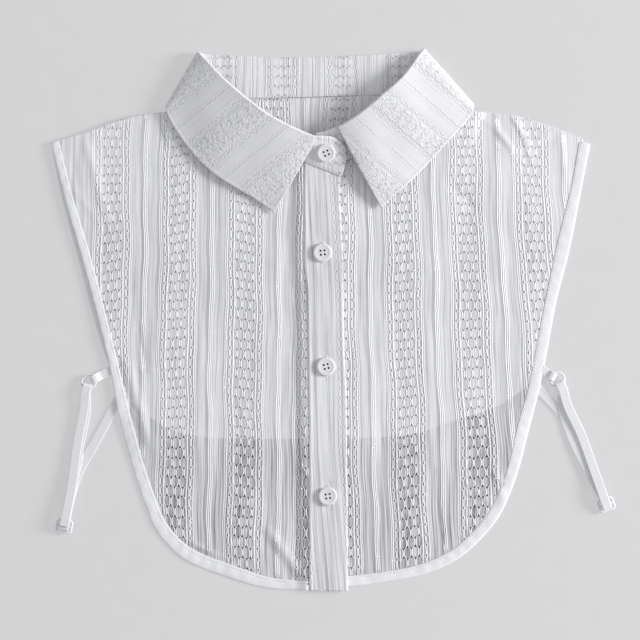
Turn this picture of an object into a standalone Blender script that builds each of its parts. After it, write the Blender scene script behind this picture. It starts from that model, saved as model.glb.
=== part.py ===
"""A detachable shirt collar: a sleeveless half shirt with a pointed collar, buttoned and laid flat, face up.

The table is z = 0, y runs from the hem to the neck, and "left" and "right" are those of someone looking down at it.
The origin is on the flat underside of the back. The back lies on the table, the right front on the back, and the
placket, sewn to the left front, on the right front. The collar goes round the neck: from the buttoned tab, up the
left front, under the back of the neck, and down the right front to its other end beneath the tab.
Every length below is in millimetres, and MM makes metres of it when a mesh is made.
"""

import math

import bpy
import numpy as np

MM = 0.001
CLOTH = 1.1
BINDING = 1.3
TAPE = 1.0
SEAM = 0.4  # between pieces sewn edge to edge
NECK_SEAM = 1.0  # where the collar stand's sloping edge meets the panels
LAYER = 1.75  # from the underside of the back to the underside of the fronts on it
LAP = 1.8  # from the underside of one front to the underside of what laps over it
LAP_RUN = 9.0  # the width over which the left front rises to the placket
FOLD_GAP = 0.85  # half the distance between the middles of leaf and stand at the fold
OVERHANG = 5.0  # how far outside the back's outline the fronts stay at that height
TABLE_RUN = 20.0  # the width over which they then come down to the table
LEAF_MARGIN, LEAF_RUN = 10.0, 22.0  # how far from the leaf beneath it the back is level, and then comes down

TAPE_WIDE = 6.2
TAB_WIDE = 5.8
TAB_PINCH = 0.75  # half the distance between the middles of a tab's two layers at the binding
TAB_RUN = 1.5  # how far a tab runs straight beside its turn
RING_RADIUS = 4.9
RING_WIRE = 0.7
WIRE_CLEAR = 0.15  # how much nearer the ring's middle a tape turns, so that it clears the slanting wire
STRAIGHT = 4.5  # how far a tape runs straight beside a turn
PAST_BAR = 1.3  # from the slider's middle to the centre of the tape's turn round its bar
TAPE_GAP = 0.35  # between a tape and the tape it lies on
TURN = 1.75  # radius of a tape's middle where it turns round a wire or bar
TAPE_LOW = 0.55  # height of a tape's middle where it lies on the table
SLIDER_WIDE, SLIDER_LONG, SLIDER_THICK, SLIDER_BAR = 13.3, 11.2, 1.4, 1.6
SLIDER_CORNER, WINDOW_CORNER = 2.2, 0.6

BUTTON_STEPS = 20
BUTTON_WELD = 0.05  # how near the axis points of a turned button become one
BUTTON_HOLE = 0.85
HOLE_SIDES = 10
CUT_LOW, CUT_HIGH = -2.0, 4.0  # the reach of the cutters from a button's back
BUTTON_HOLE_AT = 1.6
BUTTON_TURNED = math.radians(20)

WHITE = (0.82, 0.82, 0.86)


def table(names, *rows):
    """The columns of a table by name."""
    return dict(zip(names.split(), np.array(rows, float).T))


# The outer edge of each binding, and its width.
LEFT_EDGE = table(
    "x y wide",
    (-188.3, 123.9, 5.6),
    (-179.2, 87.5, 5.8),
    (-164.5, 35.7, 6.2),
    (-153.3, -7.0, 6.1),
    (-147.0, -33.6, 6.3),
    (-141.4, -64.4, 8.1),
    (-130.9, -104.3, 8.5),
    (-121.1, -133.0, 8.6),
    (-116.2, -144.9, 9.0),
    (-96.6, -166.6, 9.4),
    (-67.2, -179.2, 9.4),
    (-31.5, -188.3, 7.5),
    (-8.4, -189.2, 6.3),
)
RIGHT_EDGE = table(
    "x y wide",
    (-5.5, -187.5, 7.5),
    (19.6, -186.6, 7.6),
    (46.2, -183.4, 7.4),
    (70.7, -178.5, 7.5),
    (95.2, -168.0, 7.7),
    (109.9, -156.1, 7.8),
    (126.7, -135.1, 8.0),
    (138.6, -105.7, 7.7),
    (146.3, -76.3, 8.5),
    (152.6, -51.8, 8.0),
    (157.5, -29.4, 8.2),
    (164.9, 11.2, 7.9),
    (174.3, 48.3, 9.6),
    (184.1, 98.0, 7.5),
    (189.0, 123.2, 8.0),
)
BACK_EDGE = table(
    "x y wide",
    (-188.3, 123.9, 7.5),
    (-182.0, 91.0, 7.5),
    (-168.7, 40.6, 7.5),
    (-158.9, 2.8, 7.5),
    (-151.2, -22.4, 7.5),
    (-141.4, -45.5, 7.5),
    (-119.0, -67.2, 7.5),
    (-99.4, -77.7, 7.5),
    (-73.5, -81.9, 7.5),
    (0.0, -82.6, 7.5),
    (62.3, -79.8, 7.5),
    (91.0, -70.7, 7.5),
    (123.9, -59.5, 7.5),
    (138.6, -50.4, 7.5),
    (147.0, -42.0, 7.5),
    (154.7, -21.0, 7.5),
    (162.4, 11.2, 7.5),
    (172.2, 48.3, 7.5),
    (183.0, 98.0, 7.5),
    (189.0, 123.2, 7.5),
)

# The shoulders, from the tips in to the neck, and the neckline, from neck corner to neck corner.
LEFT_SHOULDER = table(
    "x y",
    (-188.3, 123.9),
    (-164.5, 130.9),
    (-142.8, 139.3),
    (-133.0, 142.1),
    (-118.0, 144.6),
    (-105.0, 145.8),
    (-100.8, 149.8),
    (-97.3, 156.1),
)
RIGHT_SHOULDER = table(
    "x y",
    (86.5, 157.5),
    (94.5, 153.3),
    (101.4, 147.4),
    (116.0, 145.4),
    (137.2, 142.8),
    (159.6, 135.8),
    (182.0, 127.4),
    (189.0, 123.2),
)
LEFT_NECK = table("x y", (-97.3, 156.1), (-88.9, 147.7), (-68.6, 134.0), (-47.3, 122.2), (-21.0, 114.8), (-11.2, 110.6))
RIGHT_NECK = table(
    "x y", (-5.5, 109.0), (7.0, 106.0), (21.0, 112.5), (40.5, 123.6), (61.3, 137.2), (80.5, 149.8), (86.5, 157.5)
)
BACK_NECK = table("x y", (-97.3, 156.1), (-59.5, 154.9), (0.0, 155.7), (49.0, 157.5), (86.5, 157.5))

PLACKET_LEFT = table(
    "x y", (-11.2, 110.3), (-11.2, 75.6), (-11.2, 42.0), (-9.1, 16.1), (-7.9, -70.0), (-7.7, -189.5)
)
PLACKET_RIGHT = table("x y", (14.4, 99.5), (14.0, 91.0), (16.1, 42.0), (16.8, -14.0), (18.6, -56.0), (19.6, -189.7))

# Sections across the collar, from the end of the buttoned tab round the neck to the end beneath it: the fold, the
# seam to the panels, and the leaf's outer edge, whose x is 0 where the stand runs on past the leaf. "steps" is the
# number of strips from a section to the next one, and seam_up the seam's height over the fronts: a lap higher at
# the placket, and a layer lower at the back.
COLLAR = table(
    "steps fold_x fold_y fold_z seam_x seam_y seam_up edge_x edge_y edge_z",
    (2, 17.5, 121.8, 8.2, 14.7, 100.1, LAP, 0, 0, 0),
    (2, 8.4, 127.4, 10.6, 1.4, 105.7, LAP, 0, 0, 0),
    (2, -2.1, 127.0, 12.0, -11.2, 110.6, LAP, -32.2, 74.9, 4.4),
    (2, -13.3, 131.6, 13.6, -21.0, 114.8, 0, -40.6, 81.9, 4.6),
    (2, -35.7, 142.1, 15.0, -47.3, 122.2, 0, -58.8, 92.4, 5.2),
    (2, -51.8, 154.7, 14.6, -68.6, 134.0, 0, -76.3, 103.6, 5.6),
    (2, -68.2, 168.7, 12.4, -88.9, 147.7, 0, -92.4, 120.4, 5.6),
    (3, -81.9, 183.6, 7.8, -95.9, 155.1, 0, -107.2, 145.0, 5.7),
    (3, -84.9, 186.6, 4.4, -97.3, 156.1, -LAYER / 2, -107.6, 149.9, 3.0),
    (2, -82.0, 185.5, 1.4, -95.6, 155.4, -LAYER, -104.4, 147.4, 0.55),
    (2, -58.8, 184.5, 1.4, -59.5, 154.9, -LAYER, -66.5, 139.3, 0.55),
    (2, -23.1, 182.3, 1.4, -22.0, 155.4, -LAYER, -24.5, 137.2, 0.55),
    (2, 50.8, 185.7, 1.4, 49.0, 157.5, -LAYER, 53.9, 140.0, 0.55),
    (3, 70.0, 187.3, 1.4, 84.7, 157.3, -LAYER, 104.8, 147.6, 0.55),
    (3, 72.3, 188.7, 4.4, 86.5, 157.5, -LAYER / 2, 107.6, 150.4, 3.0),
    (2, 69.3, 185.2, 7.8, 84.7, 155.8, 0, 106.6, 145.0, 5.7),
    (2, 58.8, 169.4, 12.4, 80.5, 149.8, 0, 90.3, 126.0, 5.6),
    (2, 44.1, 157.5, 14.8, 61.3, 137.2, 0, 76.3, 109.9, 5.6),
    (2, 26.6, 142.1, 14.4, 40.5, 123.6, 0, 56.0, 90.3, 5.2),
    (1, 12.6, 134.2, 11.6, 23.1, 113.4, 0, 42.7, 78.4, 4.6),
    (2, 4.6, 130.6, 8.8, 9.1, 107.0, 0, 0, 0, 0),
    (0, -2.8, 129.5, 7.6, -5.5, 110.2, 0, 0, 0, 0),
)
LEAF_FIRST, LEAF_LAST = 2, 19  # the sections at the leaf's two ends
LEAF_BACK = slice(8, 15)  # the sections whose leaf lies beneath the back

# The largest folds of the fronts, each a soft ridge from one end to the other.
FOLDS = table(
    "x1 y1 x2 y2 wide high",
    (-134, -36, -119, -85, 14, 2.2),
    (-162, 119, -150, 74, 13, 1.8),
    (-34, -150, -18, -172, 13, 1.8),
    (122, 138, 133, 120, 12, 1.8),
    (138, 138, 148, 112, 12, 1.6),
    (119, -95, 127, -122, 14, 2.2),
    (137, -60, 131, -100, 13, 2.0),
)

# Where a strap runs in beneath a front's binding, which it lifts.
UNDER_BINDING = table("x y high reach", (-141.5, -57.5, 1.85, 8.0), (151.5, -50.5, 1.85, 8.0))
UNDER_BINDING_RUN = 12.0
NEAR_SEAM = 12  # how sharply the left front's columns bend to follow its seam to the placket

BUTTONS = table("x y", (4.2, 116.9), (1.75, 47.1), (4.2, -32.5), (5.4, -123.2))
# Down a button's section from its middle: a dished face, a rounded rim and a flat back.
BUTTON_SECTION = table(
    "radius z",
    (0.0, 1.7),
    (3.7, 1.7),
    (4.5, 2.4),
    (5.4, 2.6),
    (6.2, 2.2),
    (6.5, 1.5),
    (6.0, 0.7),
    (4.5, 0.1),
    (0.0, 0.0),
)

# Each side's fittings. A strap leaves the back's edge, lies on the table to the slider, turns up round its middle
# bar, goes up to the ring, turns back round its wire and comes down to the slider on top. Headings are in degrees
# from +x, in plan: out along the tab to the ring, and down along the strap at the ring and at the slider.
SIDES = {
    "left": {
        "tab_from": (-148.0, -36.0),
        "ring": (-161.8, -43.3),
        "slider": (-178.9, -144.2),
        "heading_ring": 254.0,
        "heading_slider": 258.5,
        "out": table("x y z", (-139.2, -51.6, 0.55), (-156.8, -84.7, 0.55), (-168, -105, 0.55), (-174, -122, 0.55)),
        "up": table("x y z", (-172.8, -116, 2.4), (-167.4, -84, 1.2), (-163.4, -60, 0.8)),
        "down": table("x y z", (-164.8, -60, 3.0), (-169.2, -84, 2.8), (-173.6, -116, 3.9)),
    },
    "right": {
        "tab_from": (157.5, -36.2),
        "ring": (166.1, -41.5),
        "slider": (200.3, -129.2),
        "heading_ring": 299.0,
        "heading_slider": 290.5,
        "out": table("x y z", (147.4, -42.5, 0.55), (171.2, -69.3, 0.55), (181.3, -91.7, 0.55), (191, -112, 0.55)),
        "up": table("x y z", (192, -109, 2.4), (178.5, -76, 1.2), (172.5, -58, 0.8)),
        "down": table("x y z", (174, -57.6, 3.0), (187.2, -79.8, 2.8), (194.6, -106, 3.9)),
    },
}


def rise(t):
    """A smooth step from 0 at t = 0 to 1 at t = 1."""
    t = np.clip(t, 0, 1)
    return t * t * (3 - 2 * t)


def lengths(line):
    """The distance along a line to each of its points."""
    return np.concatenate([[0.0], np.cumsum(np.linalg.norm(np.diff(line, axis=0), axis=1))])


def columns(data, *names):
    return np.stack([data[name] for name in names], axis=1)


def smooth(points, steps, at=None):
    """A line through the points that never overshoots them: cubic Hermite with the slopes of monotone interpolation.

    steps is the number of strips from each point to the next, one number or one for each; at is the parameter that
    runs along the points, their distance along the line unless it is given.
    """
    at = lengths(points) if at is None else at
    gap = np.diff(at)[:, None]
    secant = np.diff(points, axis=0) / gap
    before, after = 2 * gap[1:] + gap[:-1], gap[1:] + 2 * gap[:-1]
    turning = secant[:-1] * secant[1:] <= 0
    safe_before = np.where(turning, 1, secant[:-1])
    safe_after = np.where(turning, 1, secant[1:])
    inner = np.where(turning, 0, (before + after) / (before / safe_before + after / safe_after))
    slope = np.concatenate([secant[:1], inner, secant[-1:]])
    line = []
    for i, count in enumerate(np.broadcast_to(steps, len(gap)).astype(int)):
        t = np.arange(count)[:, None] / count
        line.append(
            (2 * t**3 - 3 * t**2 + 1) * points[i]
            + (t**3 - 2 * t**2 + t) * gap[i] * slope[i]
            + (3 * t**2 - 2 * t**3) * points[i + 1]
            + (t**3 - t**2) * gap[i] * slope[i + 1]
        )
    return np.concatenate([*line, points[-1:]])


def spaced(line, count):
    """The line as count points, evenly spaced along it."""
    at = lengths(line[:, :2])
    places = np.linspace(0, at[-1], count)
    return np.stack([np.interp(places, at, column) for column in line.T], axis=1)


def beside(line, distance):
    """The line moved to its left in plan by a distance, one number or one for each point."""
    along = np.gradient(line[:, :2], axis=0)
    along /= np.linalg.norm(along, axis=1)[:, None]
    across = np.stack([-along[:, 1], along[:, 0]], axis=1)
    return line[:, :2] + across * np.broadcast_to(distance, len(line))[:, None]


def distance_outside(outline, x, y):
    """How far each point lies outside a closed outline; negative inside it."""
    point = np.stack([np.ravel(x), np.ravel(y)], axis=1)[:, None]
    start, end = outline[None], np.roll(outline, -1, axis=0)[None]
    side = end - start
    share = np.clip(((point - start) * side).sum(2) / (side**2).sum(2), 0, 1)
    distance = np.linalg.norm(point - start - share[..., None] * side, axis=2).min(axis=1)
    crosses = (start[..., 1] > point[..., 1]) != (end[..., 1] > point[..., 1])
    level = np.where(side[..., 1] == 0, 1, side[..., 1])
    crossing = start[..., 0] + (point[..., 1] - start[..., 1]) / level * side[..., 0]
    inside = ((crosses & (point[..., 0] < crossing)).sum(axis=1) % 2).astype(bool)
    return np.where(inside, -distance, distance).reshape(np.shape(x))


def edge_line(edge, count):
    """An edge table as evenly spaced points, with the binding's width as a third column."""
    return spaced(smooth(columns(edge, "x", "y", "wide"), 6), count)


def back_outline():
    upper = [columns(line, "x", "y")[:-1] for line in (LEFT_SHOULDER, BACK_NECK, RIGHT_SHOULDER)]
    return np.concatenate([*upper, smooth(columns(BACK_EDGE, "x", "y"), 4)[:0:-1]])


BACK_OUTLINE = back_outline()


def back_under(x, y):
    """The height of the back's underside: on the table, and on the collar leaf where that lies beneath it."""
    edge_x, edge_y = COLLAR["edge_x"][LEAF_BACK], COLLAR["edge_y"][LEAF_BACK]
    beyond = np.maximum(0, np.maximum(edge_x[0] - x, x - edge_x[-1]))
    inside = y - np.interp(x, edge_x, edge_y) - 3 * beyond
    return (CLOTH + SEAM) * rise(1 + (inside + LEAF_MARGIN) / LEAF_RUN)


def ridges(x, y):
    """The height that the folds add: a bell across each and a bell's tail past its ends."""
    height = np.zeros(np.shape(x))
    for x1, y1, x2, y2, wide, high in zip(*FOLDS.values()):
        length = math.hypot(x2 - x1, y2 - y1)
        along = ((x - x1) * (x2 - x1) + (y - y1) * (y2 - y1)) / length
        across = ((x - x1) * (y1 - y2) + (y - y1) * (x2 - x1)) / length
        past = np.maximum(0, np.maximum(-along, along - length))
        height += high * np.exp(-(9 * across**2 + 2 * past**2) / (2 * (wide / 2) ** 2))
    return height


def front_under(x, y):
    """The height of the fronts' underside: on the back, coming down to the table outside the back's outline."""
    on_back = back_under(x, y) + LAYER
    height = on_back * (1 - rise((distance_outside(BACK_OUTLINE, x, y) - OVERHANG) / TABLE_RUN))
    for strap_x, strap_y, high, reach in zip(*UNDER_BINDING.values()):
        away = np.hypot(x - strap_x, y - strap_y)
        height = np.maximum(height, high * (1 - rise((away - reach) / UNDER_BINDING_RUN)))
    return height + ridges(x, y)


def left_under(x, y):
    """The left front's underside, which rises to the placket's beside it."""
    placket_x = np.interp(-y, -PLACKET_LEFT["y"], PLACKET_LEFT["x"])
    return front_under(x, y) + LAP * rise(1 + (x - placket_x + 1) / LAP_RUN)


def placket_under(x, y):
    return front_under(x, y) + LAP


def material(name, colour, roughness, metallic=0.0):
    made = bpy.data.materials.new(name)
    made.use_nodes = True
    shader = made.node_tree.nodes["Principled BSDF"]
    shader.inputs["Base Color"].default_value = (*colour, 1)
    shader.inputs["Roughness"].default_value = roughness
    shader.inputs["Metallic"].default_value = metallic
    made.diffuse_color = (*colour, 1)
    return made


def add(collection, name, data, colour=WHITE, roughness=0.85):
    made = bpy.data.objects.new(name, data)
    data.materials.append(material(name, colour, roughness))
    collection.objects.link(made)
    return made


def wall(collection, name, middle, thickness, **look):
    """A sheet of cloth: a grid of points along its middle, given thickness to both sides."""
    rows, across = middle.shape[:2]
    corner = (np.arange(rows - 1)[:, None] * across + np.arange(across - 1)).ravel()
    faces = np.stack([corner, corner + 1, corner + across + 1, corner + across], axis=1)
    mesh = bpy.data.meshes.new(name)
    mesh.from_pydata((middle.reshape(-1, 3) * MM).tolist(), [], faces.tolist())
    mesh.shade_smooth()
    made = add(collection, name, mesh, **look)
    solidify = made.modifiers.new("thickness", "SOLIDIFY")
    solidify.thickness = thickness * MM
    solidify.offset = 0
    solidify.use_even_offset = True
    return made


def raised(plan, under, thickness):
    """A grid in plan, lifted so that a wall of this thickness has its underside at under(x, y)."""
    x, y = plan[..., 0], plan[..., 1]
    return np.stack([x, y, under(x, y) + thickness / 2], axis=-1)


def between(low, high, count, closing=1.0):
    """A grid from one line to another with the same number of points: count points across, closer at the far end."""
    share = np.linspace(0, 1, count)[None, :, None] ** closing
    return low[:, None] * (1 - share) + high[:, None] * share


def panel_grid(edge, count, upper, corners, span, rows, closing):
    """A panel's plan: columns of points from its binding's inner edge up to the shoulders and the neck.

    span is the x of the first and last column's top, or None where the column stands straight up.
    """
    line = edge_line(edge, count)
    low = beside(line, line[:, 2] + SEAM)
    first, last = (place if place is not None else low[end, 0] for end, place in zip((0, -1), span))
    x = first + (low[:, 0] - low[0, 0]) * (last - first) / (low[-1, 0] - low[0, 0])
    free = np.ones(len(x), bool)
    for corner in corners:
        nearest = np.where(free, np.abs(x - corner), np.inf).argmin()
        x[nearest] = corner
        free[nearest] = False
    high = np.stack([x, np.interp(x, upper[:, 0], upper[:, 1])], axis=1)
    high[:, 1] = np.maximum(high[:, 1], low[:, 1] + SEAM)
    return between(low, high, rows, closing)


def neck_line(neck):
    """A neckline lowered to leave the gap of the neck seam."""
    return beside(smooth(columns(neck, "x", "y"), 3), -NECK_SEAM)


def build_panels(collection):
    placket_left, placket_right = (
        spaced(smooth(columns(side, "x", "y"), 4), 24) for side in (PLACKET_LEFT, PLACKET_RIGHT)
    )
    plan = between(placket_left, placket_right, 3)
    plan[0, :, 1] -= NECK_SEAM
    wall(collection, "placket", raised(plan, placket_under, CLOTH), CLOTH)

    left_neck, right_neck = neck_line(LEFT_NECK), neck_line(RIGHT_NECK)
    left_shoulder = smooth(columns(LEFT_SHOULDER, "x", "y"), 3)
    right_shoulder = smooth(columns(RIGHT_SHOULDER, "x", "y"), 3)
    left_corner, right_corner = LEFT_NECK["x"][0], RIGHT_NECK["x"][-1]
    left_kink, right_kink = LEFT_SHOULDER["x"][5], RIGHT_SHOULDER["x"][2]

    upper = np.concatenate([left_shoulder[:-1], left_neck[left_neck[:, 0] > left_corner]])
    plan = panel_grid(LEFT_EDGE, 31, upper, [left_kink, left_corner], (None, PLACKET_LEFT["x"][0] - SEAM), 18, 0.85)
    follow = np.linspace(0, 1, len(plan))[:, None] ** NEAR_SEAM
    seam_x = np.interp(-plan[-1, :, 1], -placket_left[:, 1], placket_left[:, 0]) - SEAM
    plan[..., 0] += follow * (seam_x - plan[-1, :, 0])
    wall(collection, "front_left", raised(plan, left_under, CLOTH), CLOTH)

    upper = np.concatenate([right_neck[right_neck[:, 0] < right_corner], right_shoulder[1:]])
    lowest = RIGHT_NECK["x"][1]
    plan = panel_grid(RIGHT_EDGE, 31, upper, [lowest, right_corner, right_kink], (None, None), 18, 0.85)
    wall(collection, "front_right", raised(plan, front_under, CLOTH), CLOTH)

    back_neck = neck_line(BACK_NECK)
    upper = np.concatenate([left_shoulder[:-1], back_neck[1:-1], right_shoulder[1:]])
    plan = panel_grid(BACK_EDGE, 33, upper, [left_kink, left_corner, right_corner, right_kink], (None, None), 15, 0.7)
    wall(collection, "back_panel", raised(plan, back_under, CLOTH), CLOTH)


def build_bindings(collection):
    for name, edge, under, count in (
        ("binding_left", LEFT_EDGE, left_under, 31),
        ("binding_right", RIGHT_EDGE, front_under, 31),
        ("binding_back", BACK_EDGE, back_under, 33),
    ):
        line = edge_line(edge, count)
        plan = between(line[:, :2], beside(line, line[:, 2]), 2)
        wall(collection, name, raised(plan, under, BINDING), BINDING)


def collar_lines():
    """The collar's fold, seam and edge lines, the direction out of the fold, and the leaf's first and last strip."""
    fold = columns(COLLAR, "fold_x", "fold_y", "fold_z")
    seam = columns(COLLAR, "seam_x", "seam_y", "seam_up")
    seam[:, 2] += front_under(seam[:, 0], seam[:, 1]) + CLOTH / 2
    edge = columns(COLLAR, "edge_x", "edge_y", "edge_z")
    steps = COLLAR["steps"][:-1]
    at = lengths(fold)
    fold_line, seam_line = smooth(fold, steps, at), smooth(seam, steps, at)
    leaf = slice(LEAF_FIRST, LEAF_LAST + 1)
    edge_line_ = smooth(edge[leaf], steps[LEAF_FIRST:LEAF_LAST], at[leaf])
    along = np.gradient(fold_line, axis=0)
    out = np.cross(along, seam_line - fold_line)
    out /= np.linalg.norm(out, axis=1)[:, None]
    first = int(steps[:LEAF_FIRST].sum())
    return fold_line, seam_line, edge_line_, out, slice(first, first + len(edge_line_))


def sloped(top, foot, offset, count):
    """A grid from the fold to a foot line, whose offset from the fold fades out at the foot."""
    share = np.linspace(0, 1, count)[None, :, None]
    return top[:, None] * (1 - share) + foot[:, None] * share + offset[:, None] * (1 - share)


def build_collar(collection):
    fold, seam, edge, out, leaf = collar_lines()
    stand = sloped(fold, seam, -FOLD_GAP * out, 3)
    wall(collection, "collar_stand", stand, CLOTH)
    wall(collection, "collar_leaf", sloped(fold[leaf], edge, FOLD_GAP * out[leaf], 4), CLOTH)
    return stand


def seat(middle, x, y):
    """The point of a wall's middle over (x, y) and the unit vector square to it, from the six nearest points."""
    points = middle.reshape(-1, 3)
    away = np.hypot(points[:, 0] - x, points[:, 1] - y)
    near = points[np.argsort(away)[:6]]
    slope_x, slope_y, height = np.linalg.lstsq(
        np.column_stack([near[:, 0] - x, near[:, 1] - y, np.ones(len(near))]), near[:, 2], rcond=None
    )[0]
    square = np.array([-slope_x, -slope_y, 1.0])
    return np.array([x, y, height]), square / np.linalg.norm(square)


def button_mesh():
    section = columns(BUTTON_SECTION, "radius", "z")
    mesh = bpy.data.meshes.new("button")
    points = [(radius * MM, 0, z * MM) for radius, z in section]
    mesh.from_pydata(points, [(i, i + 1) for i in range(len(points) - 1)], [])
    return mesh


def build_buttons(collection, hidden, stand):
    for number, (x, y) in enumerate(zip(*BUTTONS.values()), 1):
        made = add(collection, f"button_{number}", button_mesh(), roughness=0.35)
        if number == 1:
            point, square = seat(stand[:7], x, y)
        else:
            point, square = np.array([x, y, placket_under(x, y) + CLOTH / 2]), np.array([0, 0, 1.0])
        point = point + square * (CLOTH / 2 + SEAM)
        made.location = [float(value) * MM for value in point]
        tilt = math.acos(square[2])
        made.rotation_mode = "AXIS_ANGLE"
        lean = math.hypot(square[0], square[1])
        axis = (-square[1] / lean, square[0] / lean, 0) if lean > 0 else (1, 0, 0)
        made.rotation_axis_angle = (tilt, *axis)
        screw = made.modifiers.new("turned", "SCREW")
        screw.steps = screw.render_steps = BUTTON_STEPS
        screw.use_merge_vertices = True
        screw.merge_threshold = BUTTON_WELD * MM
        cut_holes(made, hidden, number)


def cut_holes(button, hidden, number):
    """Four holes through a button, by a cutter that is its child."""
    mesh = bpy.data.meshes.new(f"holes_{number}")
    points, faces = [], []
    for i in range(4):
        corner = BUTTON_TURNED + math.radians(90 * i + 45)
        reach = BUTTON_HOLE_AT * math.sqrt(2)
        turn = np.arange(HOLE_SIDES) * 2 * math.pi / HOLE_SIDES
        ring = np.stack(
            [
                reach * math.cos(corner) + BUTTON_HOLE * np.cos(turn),
                reach * math.sin(corner) + BUTTON_HOLE * np.sin(turn),
            ],
            axis=1,
        )
        base = len(points)
        points += [(px * MM, py * MM, z * MM) for z in (CUT_LOW, CUT_HIGH) for px, py in ring]
        top = base + HOLE_SIDES
        faces.append([base + k for k in reversed(range(HOLE_SIDES))])
        faces.append([top + k for k in range(HOLE_SIDES)])
        for k in range(HOLE_SIDES):
            after = (k + 1) % HOLE_SIDES
            faces.append([base + k, base + after, top + after, top + k])
    mesh.from_pydata(points, [], faces)
    cutter = bpy.data.objects.new(f"holes_{number}", mesh)
    cutter.parent = button
    cutter.hide_render = True
    cutter.display_type = "WIRE"
    hidden.objects.link(cutter)
    boolean = button.modifiers.new("holes", "BOOLEAN")
    boolean.object = cutter


def unit(heading):
    return np.array([math.cos(math.radians(heading)), math.sin(math.radians(heading)), 0.0])


def turn_points(centre, heading, upwards, count=7):
    """A tape's half turn about a level bar: it swings out along the heading and comes back on the other side."""
    angle = np.linspace(-math.pi / 2, math.pi / 2, count)
    swing = TURN * np.cos(angle)[:, None] * unit(heading)
    height = TURN * np.sin(angle)[:, None] * np.array([0, 0, 1.0])
    return centre + swing + (height if upwards else -height)


def ribbon(collection, name, route, across, width, **look):
    """A flat tape along a route, with the level direction across it given at every point."""
    middle = np.stack([route - across * width / 2, route + across * width / 2], axis=1)
    return wall(collection, name, middle, TAPE, **look)


def directions_across(route, fixed):
    """The level unit vector across a tape at every point of its route.

    fixed holds a heading where the tape turns over, and None elsewhere, where the plan of the route gives it.
    """
    along = np.gradient(route[:, :2], axis=0)
    across = []
    for i, heading in enumerate(fixed):
        if heading is not None:
            plain = unit(heading + 90)[:2]
        else:
            plain = np.array([-along[i, 1], along[i, 0]]) / np.linalg.norm(along[i])
        if across and plain @ across[-1][:2] < 0:
            plain = -plain
        across.append(np.array([*plain, 0.0]))
    return np.array(across)


def build_strap(collection, side, place):
    slider_turn = np.array([*place["slider"], TAPE_LOW + TURN]) + PAST_BAR * unit(place["heading_slider"])
    wire_at_edge = math.sqrt(RING_RADIUS**2 - (TAPE_WIDE / 2) ** 2) - WIRE_CLEAR
    ring_turn = np.array([*place["ring"], TAPE_LOW + TURN]) + wire_at_edge * unit(place["heading_ring"])

    first = turn_points(slider_turn, place["heading_slider"], upwards=True)
    second = turn_points(ring_turn, place["heading_ring"] + 180, upwards=True)
    pieces, fixed = [], []

    def strand(points, steps):
        line = smooth(points, steps)
        pieces.append(line)
        fixed.extend([None] * len(line))

    run = STRAIGHT * unit(place["heading_slider"])
    near_ring = STRAIGHT * unit(place["heading_ring"])
    out = columns(place["out"], "x", "y", "z")
    strand(np.concatenate([out, [first[0] - run]]), 2)
    pieces.append(first)
    fixed.extend([place["heading_slider"]] * len(first))
    up = columns(place["up"], "x", "y", "z")
    strand(np.concatenate([[first[-1] - run], up, [second[0] + near_ring]]), 2)
    pieces.append(second)
    fixed.extend([place["heading_ring"]] * len(second))
    down = columns(place["down"], "x", "y", "z")
    end = first[-1] - unit(place["heading_slider"]) * PAST_BAR + np.array([0, 0, TAPE + TAPE_GAP])
    strand(np.concatenate([[second[-1] + near_ring], down, [end - run, end]]), 2)
    route = np.concatenate(pieces)
    ribbon(collection, f"strap_{side}", route, directions_across(route, fixed), TAPE_WIDE)


def build_tab(collection, side, place):
    ring, start = np.array(place["ring"]), np.array(place["tab_from"])
    along = ring - start
    heading = math.degrees(math.atan2(along[1], along[0]))
    wire_at_edge = math.sqrt(RING_RADIUS**2 - (TAB_WIDE / 2) ** 2) - WIRE_CLEAR
    centre = np.array([*ring, TAPE_LOW + TURN]) - wire_at_edge * unit(heading)
    turn = turn_points(centre, heading, upwards=True)
    low = np.array([*start, TAPE_LOW + TURN - TAB_PINCH])
    high = low + np.array([0, 0, 2 * TAB_PINCH])
    run = TAB_RUN * unit(heading)
    route = np.concatenate([[low], [turn[0] - run], turn, [turn[-1] - run], [high]])
    across = np.broadcast_to(unit(heading + 90), route.shape)
    ribbon(collection, f"tab_{side}", route, across, TAB_WIDE)


def build_ring(collection, side, place):
    bpy.ops.mesh.primitive_torus_add(
        major_segments=20,
        minor_segments=8,
        major_radius=RING_RADIUS * MM,
        minor_radius=RING_WIRE * MM,
        location=(place["ring"][0] * MM, place["ring"][1] * MM, (TAPE_LOW + TURN) * MM),
    )
    made = bpy.context.object
    made.name = made.data.name = f"ring_{side}"
    made.data.materials.append(material(made.name, WHITE, 0.35))
    made.data.shade_smooth()
    for old in list(made.users_collection):
        old.objects.unlink(made)
    collection.objects.link(made)


def rounded_box(long, wide, radius, centre=0.0, steps=3):
    """The corners of a rectangle with round corners, anticlockwise, centred at (centre, 0)."""
    points = []
    for quarter, (sx, sy) in enumerate(((1, 1), (-1, 1), (-1, -1), (1, -1))):
        for step in range(steps + 1):
            angle = math.radians(90 * quarter + 90 * step / steps)
            x = centre + sx * (long / 2 - radius) + radius * math.cos(angle)
            y = sy * (wide / 2 - radius) + radius * math.sin(angle)
            points.append((x, y))
    return points


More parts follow.
